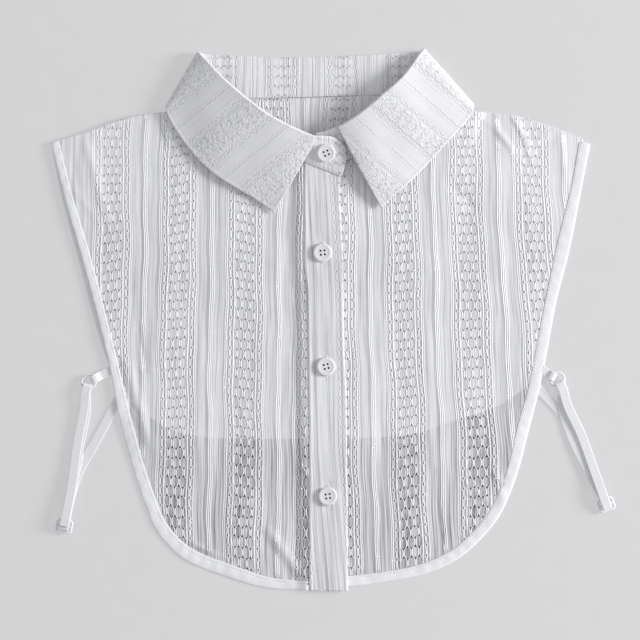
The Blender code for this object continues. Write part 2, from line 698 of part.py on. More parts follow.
def build_slider(collection, side, place):
    """A flat frame with two windows and a middle bar, cut from one outline."""
    curve = bpy.data.curves.new(f"slider_{side}", "CURVE")
    curve.dimensions = "2D"
    curve.fill_mode = "BOTH"
    curve.extrude = SLIDER_THICK / 2 * MM
    window = (SLIDER_LONG - 3 * SLIDER_BAR) / 2
    offset = (window + SLIDER_BAR) / 2
    inner = SLIDER_WIDE - 2 * SLIDER_BAR
    outlines = [rounded_box(SLIDER_LONG, SLIDER_WIDE, SLIDER_CORNER)]
    outlines += [rounded_box(window, inner, WINDOW_CORNER, centre, 1) for centre in (-offset, offset)]
    for outline in outlines:
        spline = curve.splines.new("POLY")
        spline.points.add(len(outline) - 1)
        for point, (x, y) in zip(spline.points, outline):
            point.co = (x * MM, y * MM, 0, 1)
        spline.use_cyclic_u = True
    made = add(collection, f"slider_{side}", curve, roughness=0.35)
    made.location = (place["slider"][0] * MM, place["slider"][1] * MM, (TAPE_LOW + TURN) * MM)
    made.rotation_euler.z = math.radians(place["heading_slider"])


def main():
    for old in list(bpy.data.objects):
        bpy.data.objects.remove(old)
    collection = bpy.data.collections.new("detachable_collar")
    hidden = bpy.data.collections.new("cutters")
    for made in (collection, hidden):
        bpy.context.scene.collection.children.link(made)
    build_panels(collection)
    build_bindings(collection)
    stand = build_collar(collection)
    build_buttons(collection, hidden, stand)
    for side, place in SIDES.items():
        build_tab(collection, side, place)
        build_ring(collection, side, place)
        build_slider(collection, side, place)
        build_strap(collection, side, place)


main()
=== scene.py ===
import math

import bpy
import numpy as np
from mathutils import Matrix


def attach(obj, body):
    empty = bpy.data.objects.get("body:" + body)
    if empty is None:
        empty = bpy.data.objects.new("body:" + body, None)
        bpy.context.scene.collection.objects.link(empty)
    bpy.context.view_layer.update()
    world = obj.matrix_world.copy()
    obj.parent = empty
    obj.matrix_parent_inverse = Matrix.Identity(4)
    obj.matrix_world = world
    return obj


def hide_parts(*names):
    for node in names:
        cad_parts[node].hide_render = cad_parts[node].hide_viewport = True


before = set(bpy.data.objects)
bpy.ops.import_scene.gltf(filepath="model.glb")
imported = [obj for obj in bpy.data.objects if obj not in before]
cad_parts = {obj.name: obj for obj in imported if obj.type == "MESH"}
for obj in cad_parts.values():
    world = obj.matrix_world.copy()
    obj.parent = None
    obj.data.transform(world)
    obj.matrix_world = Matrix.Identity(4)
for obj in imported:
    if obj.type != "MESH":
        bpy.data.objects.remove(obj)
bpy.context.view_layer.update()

# A detachable shirt collar laid flat, face up: a sleeveless half shirt of striped openwork cotton with a
# pointed collar. The table is z = 0 and y runs from the hem to the neck. Lengths are in millimetres until
# a mesh is made.
MM = 0.001

CLOTH = 1.1  # the height that one panel takes up
SEAM = 0.4  # the least gap between pieces that meet
LAYER = 1.75  # from the underside of the back to the underside of the fronts on it
LAP = 1.8  # from the underside of one front to the underside of what laps over it
LAP_RUN = 9.0  # the width over which the left front rises to the placket
PLACKET_TUCK = 1.8  # how far the placket's upper end runs in under the collar stand
FOOT_LIFT = 0.8  # how much higher the neck tab's foot lies, where it rests on the placket
OVERHANG = 5.0  # how far outside the back's outline the fronts stay at that height
TABLE_RUN = 32.0  # the width over which they then come down to the table
LEAF_MARGIN = 10.0  # how far beyond the leaf beneath it the back stays level
LEAF_RUN = 22.0  # the width over which it then comes down
SHELL = 0.5  # the thickness of one layer of the cloth as it is shown
FOLD_GAP = 0.95  # from the collar's fold line to the middle of each of its two layers
THICK = 0.55  # half the thickness of the doubled, interlined cloth

# The cloth's stripes: lace bands a pitch apart, with plain stripes between them.
PITCH = 48.0  # from one lace band's middle to the next
CELL = 5.5  # the width of a lace cell
ROW = 6.8  # the height of a row of cells
SWING = 0.92  # how far a lace thread swings to each side of its line
SQUARE = 1.4  # how square the swing is
CORD_AT, CHAIN_AT, OUTER_AT = 8.0, 10.4, 12.6  # how far from a band's middle they run
CHAIN_HALF, CHAIN_OPEN = 0.36, 0.55  # half a chain's width, and how much it opens where two rows meet
WAVE = 0.16  # the height of the cloth's slow unevenness
DOUBLED_WAVE = 0.8  # the share of it that doubled cloth keeps

# The straps' fittings.
TAPE, TAPE_WIDE, TAB_WIDE = 0.9, 6.2, 5.8
TAPE_LOW = 0.55  # height of a tape's middle where it lies on the table
TAPE_TURN = 1.75  # radius of a tape's middle where it turns round a wire or bar
TAPE_GAP = 0.35  # between a tape and the tape it lies on
FITTING_HIGH = TAPE_LOW + TAPE_TURN  # height of the middles of rings and sliders
TAB_PINCH = 0.47  # half the distance between the middles of a tab's two layers at the binding
TAB_RUN = 1.5  # how far a tab runs straight beside its turn
TAB_SETTLED = 0.35  # the share of its upper layer's way in which it comes down to its level at the binding
RING_RADIUS, RING_WIRE = 4.9, 0.7
WIRE_CLEAR = 0.15  # how much nearer the ring's middle a tape turns, so that it clears the slanting wire
STRAIGHT = 4.5  # how far a strap runs straight beside a turn
PAST_BAR = 1.3  # from the slider's middle to the centre of the tape's turn round its bar
SLIDER_WIDE, SLIDER_LONG, SLIDER_THICK, SLIDER_BAR, SLIDER_CORNER = 11.8, 9.8, 1.4, 1.6, 2.4


def table(names, *rows):
    """The columns of a table by name."""
    return dict(zip(names.split(), np.array(rows, float).T))


# The panels' outer edges with the width of the binding, then their shoulders and necks.
LEFT_EDGE = table(
    "x y wide",
    (-188.3, 123.9, 5.6), (-179.2, 87.5, 5.8), (-164.5, 35.7, 6.2), (-153.3, -7.0, 6.1), (-147.0, -33.6, 6.3),
    (-141.4, -64.4, 8.1), (-130.9, -104.3, 8.5), (-121.1, -133.0, 8.6), (-116.2, -144.9, 9.0),
    (-96.6, -166.6, 9.4), (-67.2, -179.2, 9.4), (-31.5, -188.3, 7.5), (-8.4, -189.2, 6.3),
)
RIGHT_EDGE = table(
    "x y wide",
    (-5.5, -187.5, 7.5), (19.6, -186.6, 7.6), (46.2, -183.4, 7.4), (70.7, -178.5, 7.5), (95.2, -168.0, 7.7),
    (109.9, -156.1, 7.8), (126.7, -135.1, 8.0), (138.6, -105.7, 7.7), (146.3, -76.3, 8.5),
    (152.6, -51.8, 8.0), (157.5, -29.4, 8.2), (164.9, 11.2, 7.9), (174.3, 48.3, 9.6), (184.1, 98.0, 7.5),
    (189.0, 123.2, 8.0),
)
BACK_EDGE = table(
    "x y",
    (-188.3, 123.9), (-182.0, 91.0), (-168.7, 40.6), (-158.9, 2.8), (-151.2, -22.4), (-141.4, -45.5),
    (-119.0, -67.2), (-99.4, -77.7), (-73.5, -81.9), (0.0, -82.6), (62.3, -79.8), (91.0, -70.7),
    (123.9, -59.5), (138.6, -50.4), (147.0, -42.0), (154.7, -21.0), (162.4, 11.2), (172.2, 48.3),
    (183.0, 98.0), (189.0, 123.2),
)
BACK_EDGE["wide"] = np.full(len(BACK_EDGE["x"]), 7.5)
LEFT_SHOULDER = table(
    "x y",
    (-188.3, 123.9), (-164.5, 130.9), (-142.8, 139.3), (-133.0, 142.1), (-118.0, 144.6), (-105.0, 145.8),
    (-100.8, 149.8), (-97.3, 156.1),
)
RIGHT_SHOULDER = table(
    "x y",
    (86.5, 157.5), (94.5, 153.3), (101.4, 147.4), (116.0, 145.4), (137.2, 142.8), (159.6, 135.8),
    (182.0, 127.4), (189.0, 123.2),
)
LEFT_NECK = table(
    "x y",
    (-97.3, 156.1), (-88.9, 147.7), (-68.6, 134.0), (-47.3, 122.2), (-21.0, 114.8), (-11.2, 110.6),
)
RIGHT_NECK = table(
    "x y",
    (-5.5, 109.0), (7.0, 106.0), (21.0, 112.5), (40.5, 123.6), (61.3, 137.2), (80.5, 149.8), (86.5, 157.5),
)
BACK_NECK = table("x y", (-97.3, 156.1), (-59.5, 154.9), (0.0, 155.7), (49.0, 157.5), (86.5, 157.5))
PLACKET_LEFT = table(
    "x y",
    (-11.2, 110.3), (-11.2, 75.6), (-11.2, 42.0), (-9.1, 16.1), (-7.9, -70.0), (-7.7, -189.5),
)
PLACKET_RIGHT = table(
    "x y",
    (14.4, 99.5), (14.0, 91.0), (16.1, 42.0), (16.8, -14.0), (18.6, -56.0), (19.6, -189.7),
)

# Sections across the collar: the fold, the seam to the panels and the leaf's outer edge.
COLLAR = table(
    "steps fold_x fold_y fold_z seam_x seam_y seam_up edge_x edge_y edge_z",
    (2, 17.5, 121.8, 8.2, 14.7, 100.1, LAP + FOOT_LIFT, 0, 0, 0),
    (2, 8.4, 127.4, 10.6, 1.4, 105.7, LAP + FOOT_LIFT, 0, 0, 0),
    (2, -2.1, 127.0, 12.0, -11.2, 110.6, LAP + FOOT_LIFT, -32.2, 74.9, 4.4),
    (2, -13.3, 131.6, 13.6, -21.0, 114.8, 0, -40.6, 81.9, 4.6),
    (2, -35.7, 142.1, 15.0, -47.3, 122.2, 0, -58.8, 92.4, 5.2),
    (2, -51.8, 154.7, 14.6, -68.6, 134.0, 0, -76.3, 103.6, 5.6),
    (2, -68.2, 168.7, 12.4, -88.9, 147.7, 0, -92.4, 120.4, 5.6),
    (3, -81.9, 183.6, 7.8, -95.9, 155.1, 0, -107.2, 145.0, 5.7),
    (3, -84.9, 186.6, 4.4, -97.3, 156.1, -LAYER / 2, -107.6, 149.9, 3.0),
    (2, -82.0, 185.5, 1.4, -95.6, 155.4, -LAYER, -104.4, 147.4, 0.55),
    (2, -58.8, 184.5, 1.4, -59.5, 154.9, -LAYER, -66.5, 139.3, 0.55),
    (2, -23.1, 182.3, 1.4, -22.0, 155.4, -LAYER, -24.5, 137.2, 0.55),
    (2, 50.8, 185.7, 1.4, 49.0, 157.5, -LAYER, 53.9, 140.0, 0.55),
    (3, 70.0, 187.3, 1.4, 84.7, 157.3, -LAYER, 104.8, 147.6, 0.55),
    (3, 72.3, 188.7, 4.4, 86.5, 157.5, -LAYER / 2, 107.6, 150.4, 3.0),
    (2, 69.3, 185.2, 7.8, 84.7, 155.8, 0, 106.6, 145.0, 5.7),
    (2, 58.8, 169.4, 12.4, 80.5, 149.8, 0, 90.3, 126.0, 5.6),
    (2, 44.1, 157.5, 14.8, 61.3, 137.2, 0, 76.3, 109.9, 5.6),
    (2, 26.6, 142.1, 14.4, 40.5, 123.6, 0, 56.0, 90.3, 5.2),
    (1, 12.6, 134.2, 11.6, 23.1, 113.4, 0, 42.7, 78.4, 4.6),
    (2, 4.6, 130.6, 8.8, 9.1, 107.0, 0, 0, 0, 0),
    (0, -2.8, 129.5, 7.6, -5.5, 110.2, 0, 0, 0, 0),
)
LEAF_FIRST, LEAF_LAST = 2, 19  # the sections at the leaf's two ends
LEAF_BACK = slice(8, 15)  # the sections whose leaf lies beneath the back

# Soft folds of the fronts: each runs from one end to the other, a ridge where high is above 0, a trough
# below it.
FOLDS = table(
    "x1 y1 x2 y2 wide high",
    (-134, -36, -119, -85, 16, 0.6),
    (-162, 119, -150, 74, 15, 0.6),
    (-34, -150, -18, -172, 13, 1.0),
    (122, 138, 133, 120, 10, 0.45),
    (138, 138, 148, 112, 10, 0.35),
    (119, -95, 127, -122, 14, 0.5),
    (137, -60, 131, -100, 13, 0.4),
)
# Where the straps run in beneath the fronts' bindings, and how high and how far round they lift them.
UNDER_BINDING = table("x y high reach", (-141.5, -57.5, 1.85, 5.0), (151.5, -50.5, 1.85, 5.0))
UNDER_BINDING_RUN = 24.0
BUTTONS = table("x y", (4.2, 116.9), (1.75, 47.1), (4.2, -32.5), (5.4, -123.2))
# Down a button's section from the rim of its dished face.
BUTTON_SECTION = table(
    "radius z",
    (4.0, 1.6), (4.2, 1.62), (4.4, 1.68), (4.6, 1.74), (4.8, 1.77), (5.5, 1.77), (6.0, 1.72),
    (6.3, 1.58), (6.45, 1.35), (6.5, 1.1), (6.4, 0.8), (6.0, 0.5), (5.3, 0.3), (4.5, 0.1),
)
BUTTON_CLEAR = 0.15  # between a button's back and the cloth
BUTTON_FACE, BUTTON_HOLE, BUTTON_HOLE_AT = 1.6, 0.68, 1.4
BUTTON_TURNED = (23.0, 6.0, 15.0, 8.0)  # how far each one's holes are turned, in degrees

# Narrow creases of the fronts, as the folds above.
CREASES = table(
    "x1 y1 x2 y2 wide high",
    (-168.0, 127.4, -171.5, 106.4, 13, -0.25),
    (-171.5, 106.4, -168.7, 86.8, 13, -0.25),
    (-168.7, 86.8, -156.1, 70.7, 12, 0.25),
    (-134.4, -30.8, -119.0, -35.0, 9, 0.3),
    (-126.7, -6.3, -122.5, -32.2, 9, -0.3),
    (-132.3, -58.1, -128.8, -64.4, 8, -0.25),
    (-131.0, -36.4, -130.0, -51.0, 9, 0.25),
    (-141.4, -31.5, -126.0, -84.0, 12, -0.3),
    (-37.8, -157.5, -20.3, -179.2, 10, -0.6),
    (-87.5, -157.3, -76.0, -162.9, 6.5, 1.1),
    (-12.0, -104.0, -4.0, -110.5, 8, 0.5),
    (112.7, 142.8, 132.3, 123.2, 8, 0.3),
    (135.1, 140.7, 145.6, 124.6, 8, 0.25),
    (113.4, 122.5, 157.5, 122.5, 15, -0.2),
    (157.5, 122.5, 168.0, 131.6, 15, -0.2),
    (168.0, 128.0, 172.9, 96.6, 12, 0.25),
    (93.0, 92.4, 104.0, 82.0, 14, -0.5),
    (142.8, -35.7, 137.9, -60.9, 10, -0.25),
    (137.9, -60.9, 134.4, -81.9, 10, -0.25),
    (79.1, -109.0, 84.7, -152.0, 11, -0.55),
    (104.3, -115.5, 119.0, -127.4, 9, 0.35),
    (123.0, -109.0, 129.5, -115.5, 8, 0.5),
)

# Each side's fittings. A strap leaves the back's edge, lies on the table to the slider, turns up round
# its middle bar, goes up to the ring, turns back round its wire and comes down to the slider on top.
# Headings are in degrees from +x, in plan: down along the strap at the ring and at the slider.
SIDES = {
    "left": {
        "tab_from": (-145.2, -34.5),
        "tab_drop": 1.33,
        "ring": (-161.8, -43.3),
        "slider": (-178.9, -144.2),
        "heading_ring": 254.0,
        "heading_slider": 258.5,
        "out": table("x y", (-139.2, -51.6), (-156.8, -84.7), (-168, -105), (-174, -122)),
        "up": table("x y z", (-172.8, -116, 2.4), (-167.4, -84, 1.2), (-163.4, -60, 0.8)),
        "down": table("x y z", (-164.8, -60, 3.0), (-169.2, -84, 2.8), (-173.6, -116, 3.9)),
    },
    "right": {
        "tab_from": (154.8, -34.5),
        "tab_drop": 0.35,
        "ring": (166.1, -41.5),
        "slider": (200.3, -129.2),
        "heading_ring": 299.0,
        "heading_slider": 290.5,
        "out": table("x y", (147.4, -42.5), (171.2, -69.3), (181.3, -91.7), (191, -112)),
        "up": table("x y z", (188, -106, 2.4), (174.0, -76, 1.2), (169.0, -58, 0.8)),
        "down": table("x y z", (172.4, -57.6, 3.0), (182.6, -79.8, 2.8), (192.0, -106, 3.9)),
    },
}

# Five heights up the cloth and the row coordinate there. A lace band has its middle's x at each of them,
# then how much its rows rise to the right.
BAND_Y = np.array([-200.0, -90.0, 0.0, 90.0, 190.0])
ROW_AT = np.array([-28.8, -13.2, 0.0, 13.3, 28.5])
LEFT_BANDS = (
    ((-148.0, -147.5, -146.0, -145.6, -144.5), (0, 0.2, 0.25, 0.06, -0.06)),
    ((-101.5, -101.2, -100.1, -98.0, -98.0), (-0.12, 0, 0.12, 0.22, 0.12)),
    ((-54.3, -53.2, -52.9, -51.8, -51.0), (-0.15, -0.12, -0.18, -0.19, 0)),
    ((-4.9, -4.9, -4.9, -4.9, -4.9), (0, 0, 0, 0, 0)),
)
RIGHT_BANDS = (
    ((16.5, 14.3, 12.5, 12.0, 12.0), (0, 0, 0, 0, 0)),
    ((64.8, 61.3, 58.8, 57.0, 56.5), (0.19, 0.19, 0.15, 0.07, 0)),
    ((113.0, 109.9, 105.2, 101.9, 99.0), (0.2, 0.06, 0.06, -0.03, 0)),
    ((168.0, 161.0, 154.7, 147.7, 147.0), (0.3, 0.3, 0.1, -0.06, -0.06)),
)
BACK_BANDS = [((x,) * 5, (0,) * 5) for x in (-124.0, -78.0, -32.0, 13.6, 59.0, 105.0)]


def rise(t):
    """A smooth step from 0 at t = 0 to 1 at t = 1."""
    t = np.clip(t, 0, 1)
    return t * t * (3 - 2 * t)


def lengths(line):
    """The distance along a line to each of its points."""
    return np.concatenate([[0.0], np.cumsum(np.linalg.norm(np.diff(line, axis=0), axis=1))])


def columns(data, *names):
    """Some columns of a table as points, or its places in plan."""
    return np.stack([data[name] for name in names or ("x", "y")], axis=1)


def directions(vectors):
    """Vectors brought to a length of one."""
    return vectors / np.linalg.norm(vectors, axis=-1, keepdims=True)


def level_left(along):
    """The level directions to the left of some vectors."""
    return directions(np.stack([-along[..., 1], along[..., 0], 0 * along[..., 0]], axis=-1))


def circle(count):
    """Points evenly round a level circle of radius 1."""
    turn = np.arange(count) * 2 * math.pi / count
    return np.stack([np.cos(turn), np.sin(turn)], axis=1)


def laid_on(plan, height):
    """Places in plan brought to a height that is a function of x and y."""
    return np.concatenate([plan, height(plan[..., 0], plan[..., 1])[..., None]], axis=-1)


def smooth(points, steps, at=None):
    """A line through the points that never overshoots them: a cubic Hermite curve with the slopes of monotone
    interpolation."""
    at = lengths(points) if at is None else at
    gap = np.diff(at)[:, None]
    secant = np.diff(points, axis=0) / gap
    before, after = 2 * gap[1:] + gap[:-1], gap[1:] + 2 * gap[:-1]
    turning = secant[:-1] * secant[1:] <= 0
    safe_before = np.where(turning, 1, secant[:-1])
    safe_after = np.where(turning, 1, secant[1:])
    inner = np.where(turning, 0, (before + after) / (before / safe_before + after / safe_after))
    slope = np.concatenate([secant[:1], inner, secant[-1:]])
    line = []
    for i, count in enumerate(np.broadcast_to(steps, len(gap)).astype(int)):
        t = np.arange(count)[:, None] / count
        line.append(
            (2 * t**3 - 3 * t**2 + 1) * points[i]
            + (t**3 - 2 * t**2 + t) * gap[i] * slope[i]
            + (3 * t**2 - 2 * t**3) * points[i + 1]
            + (t**3 - t**2) * gap[i] * slope[i + 1]
        )
    return np.concatenate([*line, points[-1:]])


def spaced(line, count):
    """The line as count points, evenly spaced along it in plan."""
    at = lengths(line[:, :2])
    places = np.linspace(0, at[-1], count)
    return np.stack([np.interp(places, at, column) for column in line.T], axis=1)


def beside(line, distance):
    """The line moved to its left in plan by a distance, one number or one for each point."""
    across = level_left(np.gradient(line[:, :2], axis=0))[:, :2]
    return line[:, :2] + across * np.broadcast_to(distance, len(line))[:, None]


def distance_outside(outline, x, y):
    """How far each point lies outside a closed outline; negative inside it."""
    point = np.stack([np.ravel(x), np.ravel(y)], axis=1)[:, None]
    start, end = outline[None], np.roll(outline, -1, axis=0)[None]
    side = end - start
    share = np.clip(((point - start) * side).sum(2) / (side**2).sum(2), 0, 1)
    distance = np.linalg.norm(point - start - share[..., None] * side, axis=2).min(axis=1)
    crosses = (start[..., 1] > point[..., 1]) != (end[..., 1] > point[..., 1])
    level = np.where(side[..., 1] == 0, 1, side[..., 1])
    crossing = start[..., 0] + (point[..., 1] - start[..., 1]) / level * side[..., 0]
    inside = ((crosses & (point[..., 0] < crossing)).sum(axis=1) % 2).astype(bool)
    return np.where(inside, -distance, distance).reshape(np.shape(x))


def edge_line(edge, count):
    """An edge table as evenly spaced points, with the binding's width as a third column."""
    return spaced(smooth(columns(edge, "x", "y", "wide"), 6), count)


def back_outline():
    """The back's closed outline: its shoulders and neck, and its edge the other way."""
    upper = [columns(line)[:-1] for line in (LEFT_SHOULDER, BACK_NECK, RIGHT_SHOULDER)]
    return np.concatenate([*upper, smooth(columns(BACK_EDGE), 4)[:0:-1]])


BACK_OUTLINE = back_outline()


def back_under(x, y):
    """The height of the back's underside: on the table, and on the collar leaf where that lies beneath it."""
    edge_x, edge_y = COLLAR["edge_x"][LEAF_BACK], COLLAR["edge_y"][LEAF_BACK]
    beyond = np.maximum(0, np.maximum(edge_x[0] - x, x - edge_x[-1]))
    inside = y - np.interp(x, edge_x, edge_y) - 3 * beyond
    return (CLOTH + SEAM) * rise(1 + (inside + LEAF_MARGIN) / LEAF_RUN)


def ridges(x, y, folds=FOLDS):
    """The height that the folds add: a bell across each and a bell's tail past its ends."""
    height = np.zeros(np.shape(x))
    for x1, y1, x2, y2, wide, high in zip(*folds.values()):
        length = math.hypot(x2 - x1, y2 - y1)
        along = ((x - x1) * (x2 - x1) + (y - y1) * (y2 - y1)) / length
        across = ((x - x1) * (y1 - y2) + (y - y1) * (x2 - x1)) / length
        past = np.maximum(0, np.maximum(-along, along - length))
        height += high * np.exp(-(9 * across**2 + 2 * past**2) / (2 * (wide / 2) ** 2))
    return height


def waves(x, y):
    """Slow unevenness of the cloth: a sum of four crossing sine waves."""
    return WAVE * (
        np.sin(x / 9.7 + np.sin(y / 31.0))
        + 0.8 * np.sin(x / 5.9 - y / 43.0 + 1.3)
        + 0.9 * np.sin(y / 13.1 + x / 23.0 + 2.1)
        + 0.6 * np.sin(y / 7.7 - x / 17.0)
    )


def front_under(x, y):
    """The height of the fronts' underside: on the back, and down to the table outside the back's outline."""
    on_back = back_under(x, y) + LAYER
    height = on_back * (1 - rise((distance_outside(BACK_OUTLINE, x, y) - OVERHANG) / TABLE_RUN))
    for strap_x, strap_y, high, reach in zip(*UNDER_BINDING.values()):
        away = np.hypot(x - strap_x, y - strap_y)
        height = np.maximum(height, high * (1 - rise((away - reach) / UNDER_BINDING_RUN)))
    return height + ridges(x, y)


def left_under(x, y):
    """The left front's underside, which rises to the placket's beside it."""
    placket_x = np.interp(-y, -PLACKET_LEFT["y"], PLACKET_LEFT["x"])
    return front_under(x, y) + LAP * rise(1 + (x - placket_x + 1) / LAP_RUN)


def placket_under(x, y):
    """The height of the placket's underside."""
    return front_under(x, y) + LAP


def doubled_on(under):
    """The underside of doubled cloth: it keeps only a share of the slow unevenness."""
    return lambda x, y: under(x, y) + waves(x, y) * DOUBLED_WAVE


# ---------------------------------------------------------------- meshes


def mesh_piece(name, points, faces, uv=None):
    """An object from points in millimetres, four-cornered faces and a UV pair for every point."""
    mesh = bpy.data.meshes.new(name)
    mesh.vertices.add(len(points))
    mesh.vertices.foreach_set("co", (points * MM).astype(np.float32).ravel())
    mesh.loops.add(faces.size)
    mesh.loops.foreach_set("vertex_index", faces.astype(np.int32).ravel())
    mesh.polygons.add(len(faces))
    mesh.polygons.foreach_set("loop_start", np.arange(0, faces.size, 4, dtype=np.int32))
    mesh.update(calc_edges=True)
    mesh.shade_smooth()
    if uv is not None:
        layer = mesh.uv_layers.new(name="stripes")
        layer.data.foreach_set("uv", uv[faces.ravel()].astype(np.float32).ravel())
    piece = bpy.data.objects.new(name, mesh)
    bpy.context.scene.collection.objects.link(piece)
    return piece


def grid_faces(rows, across):
    """The faces of a grid of points, facing the way of its rows' direction crossed with its columns'."""
    corner = (np.arange(rows - 1)[:, None] * across + np.arange(across - 1)).ravel()
    return np.stack([corner, corner + across, corner + across + 1, corner + 1], axis=1)


def ring_faces(stations, around, caps=(True, True)):
    """The faces of a closed section carried along a path, with a cap at either end."""
    start = np.arange(stations - 1)[:, None] * around
    here = np.arange(around)
    after = (here + 1) % around
    corners = start + here, start + after, start + around + after, start + around + here
    side = np.stack(np.broadcast_arrays(*corners), axis=-1)
    step = np.arange(around // 2 - 1)
    cap = np.stack([step, around - 1 - step, around - 2 - step, step + 1], axis=1)
    far = cap[:, ::-1] + (stations - 1) * around
    return np.concatenate([side.reshape(-1, 4)] + [end for end, wanted in zip((cap, far), caps) if wanted])


def loop_faces(stations, around):
    """The faces of a closed section carried round a closed path."""
    return ring_faces(stations + 1, around, (False, False)) % (stations * around)


def shell(name, grid, uv):
    """A sheet: a grid of points along its middle, given thickness to both sides."""
    rows, across = grid.shape[:2]
    piece = mesh_piece(name, grid.reshape(-1, 3), grid_faces(rows, across), uv.reshape(-1, 2))
    solidify = piece.modifiers.new("thickness", "SOLIDIFY")
    solidify.thickness = SHELL * MM
    solidify.offset = 0
    return piece


def strip(name, grid, uv):
    """A closed section carried along a path: the grid's rows are stations, its columns go round the
    section."""
    stations, around = grid.shape[:2]
    return mesh_piece(name, grid.reshape(-1, 3), ring_faces(stations, around), uv.reshape(-1, 2))


def tube(path, wide, high, sides=4, closed=False):
    """An oval tube along a path: its points are the path plus half the width across and half the height
    up, by the cosine and sine of the angle round it. Returns its points and faces."""
    along = np.roll(path, -1, 0) - np.roll(path, 1, 0) if closed else np.gradient(path, axis=0)
    across = level_left(along)
    up = directions(np.cross(along, across))
    angle = (np.arange(sides) + 0.5) * 2 * math.pi / sides
    reach = 0.5 / math.cos(math.pi / sides)
    wide, high = (np.broadcast_to(size, len(path))[:, None, None] * reach for size in (wide, high))
    points = (
        path[:, None]
        + across[:, None] * np.cos(angle)[None, :, None] * wide
        + up[:, None] * np.sin(angle)[None, :, None] * high
    )
    return points.reshape(-1, 3), (loop_faces if closed else ring_faces)(len(path), sides)


def stitches(line, spacing, long, wide, high):
    """Short raised threads, one to every spacing along a line: each is a tube that rises in its middle."""
    at = lengths(line)
    start = np.arange(spacing, at[-1] - spacing, spacing)[:, None]
    place = start + np.array([0.0, 0.5, 1.0]) * long
    path = np.stack([np.interp(place, at, column) for column in line.T], axis=-1)
    path[:, 1, 2] += high / 2
    across = level_left(path[:, 2] - path[:, 0]) * wide / 2
    up = np.array([0, 0, high / 2])
    section = np.stack([across, 0 * across + up, -across, 0 * across - up], axis=1)
    points = path[:, :, None] + section[:, None]
    base = np.arange(len(start))[:, None, None] * 12
    return points.reshape(-1, 3), (base + ring_faces(3, 4)).reshape(-1, 4)


def joined(name, parts):
    """One object from many sets of points and faces."""
    points, faces, base = [], [], 0
    for own_points, own_faces in parts:
        points.append(own_points)
        faces.append(own_faces + base)
        base += len(own_points)
    return mesh_piece(name, np.concatenate(points), np.concatenate(faces))


def between(low, high, count):
    """A grid of points from one line to another."""
    share = np.linspace(0, 1, count)[None, :, None]
    return low[:, None] * (1 - share) + high[:, None] * share


# ---------------------------------------------------------------- the stripes of the cloth


def drift(x, y):
    """How far the threads stray from their straight lines, to the right and up: two pairs of crossing
    waves."""
    return (
        0.5 * np.sin(y / 17 + x / 29) + 0.3 * np.sin(y / 7.3 + x / 13 + 1),
        0.5 * np.sin(x / 11 + y / 23 + 2) + 0.35 * np.sin(y / 9.1 - x / 19),
    )


FAINT_X, FAINT_Y = 85.0, 60.0  # past these, towards the shoulders, the lace is softer
FAINT_RUN_X, FAINT_RUN_Y = 50.0, 80.0  # the widths over which it softens
FAINT_THREADS = 0.72  # how much of the threads' height is lost there


def faintness(x, y):
    """How much softer the lace is at a place: a smooth step out from the middle times one up the
    shoulders."""
    return rise((np.abs(x) - FAINT_X) / FAINT_RUN_X) * rise((y - FAINT_Y) / FAINT_RUN_Y)


class Bands:
    """Lace bands with a middle and a tilt at each of five heights: it turns places in plan into stripe
    coordinates and back. The stripe coordinate is 1 from one band's middle to the next, and the row
    coordinate is 1 to a row of cells."""

    def __init__(self, bands):
        self.middles, self.tilts = np.array(bands, float).transpose(1, 0, 2)

    def at(self, y):
        """The middle and the tilt of every band at each height, with two more bands past either side."""
        middle, tilt = (
            np.stack([np.interp(y, BAND_Y, band) for band in bands]) for bands in (self.middles, self.tilts)
        )
        first, last = middle[:1], middle[-1:]
        before, after = first - middle[1:2], last - middle[-2:-1]
        middle = [first + 2 * before, first + before, middle, last + after, last + 2 * after]
        return np.concatenate(middle), np.concatenate([tilt[:1], tilt[:1], tilt, tilt[-1:], tilt[-1:]])

    def uv(self, x, y):
        """The stripe and row coordinates of places in plan, from the bands to their left and right."""
        stray_x, stray_y = drift(x, y)
        x, y = x + stray_x, y + stray_y
        middle, tilt = self.at(y)
        which = np.clip((middle <= x).sum(axis=0) - 1, 0, len(middle) - 2)[None]
        low, high = (np.take_along_axis(middle, which + step, 0)[0] for step in (0, 1))
        tilt_low, tilt_high = (np.take_along_axis(tilt, which + step, 0)[0] for step in (0, 1))
        share = (x - low) / (high - low)
        near_high = rise((share - 0.35) / 0.3)
        lift = tilt_low * (x - low) * (1 - near_high) + tilt_high * (x - high) * near_high
        return np.stack([which[0] - 2 + share, np.interp(y - lift, BAND_Y, ROW_AT)], axis=-1)

    def place(self, band, aside, row):
        """Where in plan a thread runs that lies aside from a band's middle, at each row coordinate."""
        level = np.interp(row, ROW_AT, BAND_Y)
        y = level
        for _ in range(3):
            middle, tilt = (values[band + 1 : band + 4] for values in self.at(y))
            out = aside * np.where(aside < 0, middle[1] - middle[0], middle[2] - middle[1]) / PITCH
            y = level + tilt[1] * out
        x, place_x, place_y = middle[1] + out, middle[1] + out, y
        for _ in range(3):
            stray_x, stray_y = drift(place_x, place_y)
            place_x, place_y = x - stray_x, y - stray_y
        return place_x, place_y


def swing(row):
    """A lace thread's swing at a row coordinate: a squared sine, one way through a row and back in the
    next."""
    return np.tanh(SQUARE * np.sin(math.pi * row)) / math.tanh(SQUARE)


def near_row(row):
    """1 where two rows meet, falling to 0 within a sixth of a row."""
    return np.exp(-(((row - np.round(row)) / 0.11) ** 2))


def steady(aside):
    """A thread that keeps to its line."""
    return lambda row: aside + 0 * row


def lacing(aside, turn):
    """A thread that swings to either side of its line."""
    return lambda row: aside + turn * SWING * swing(row)


def chained(side, turn):
    """One side of a chain, which opens where two rows meet."""
    return lambda row: side * CHAIN_AT + turn * (CHAIN_HALF + CHAIN_OPEN * near_row(row))


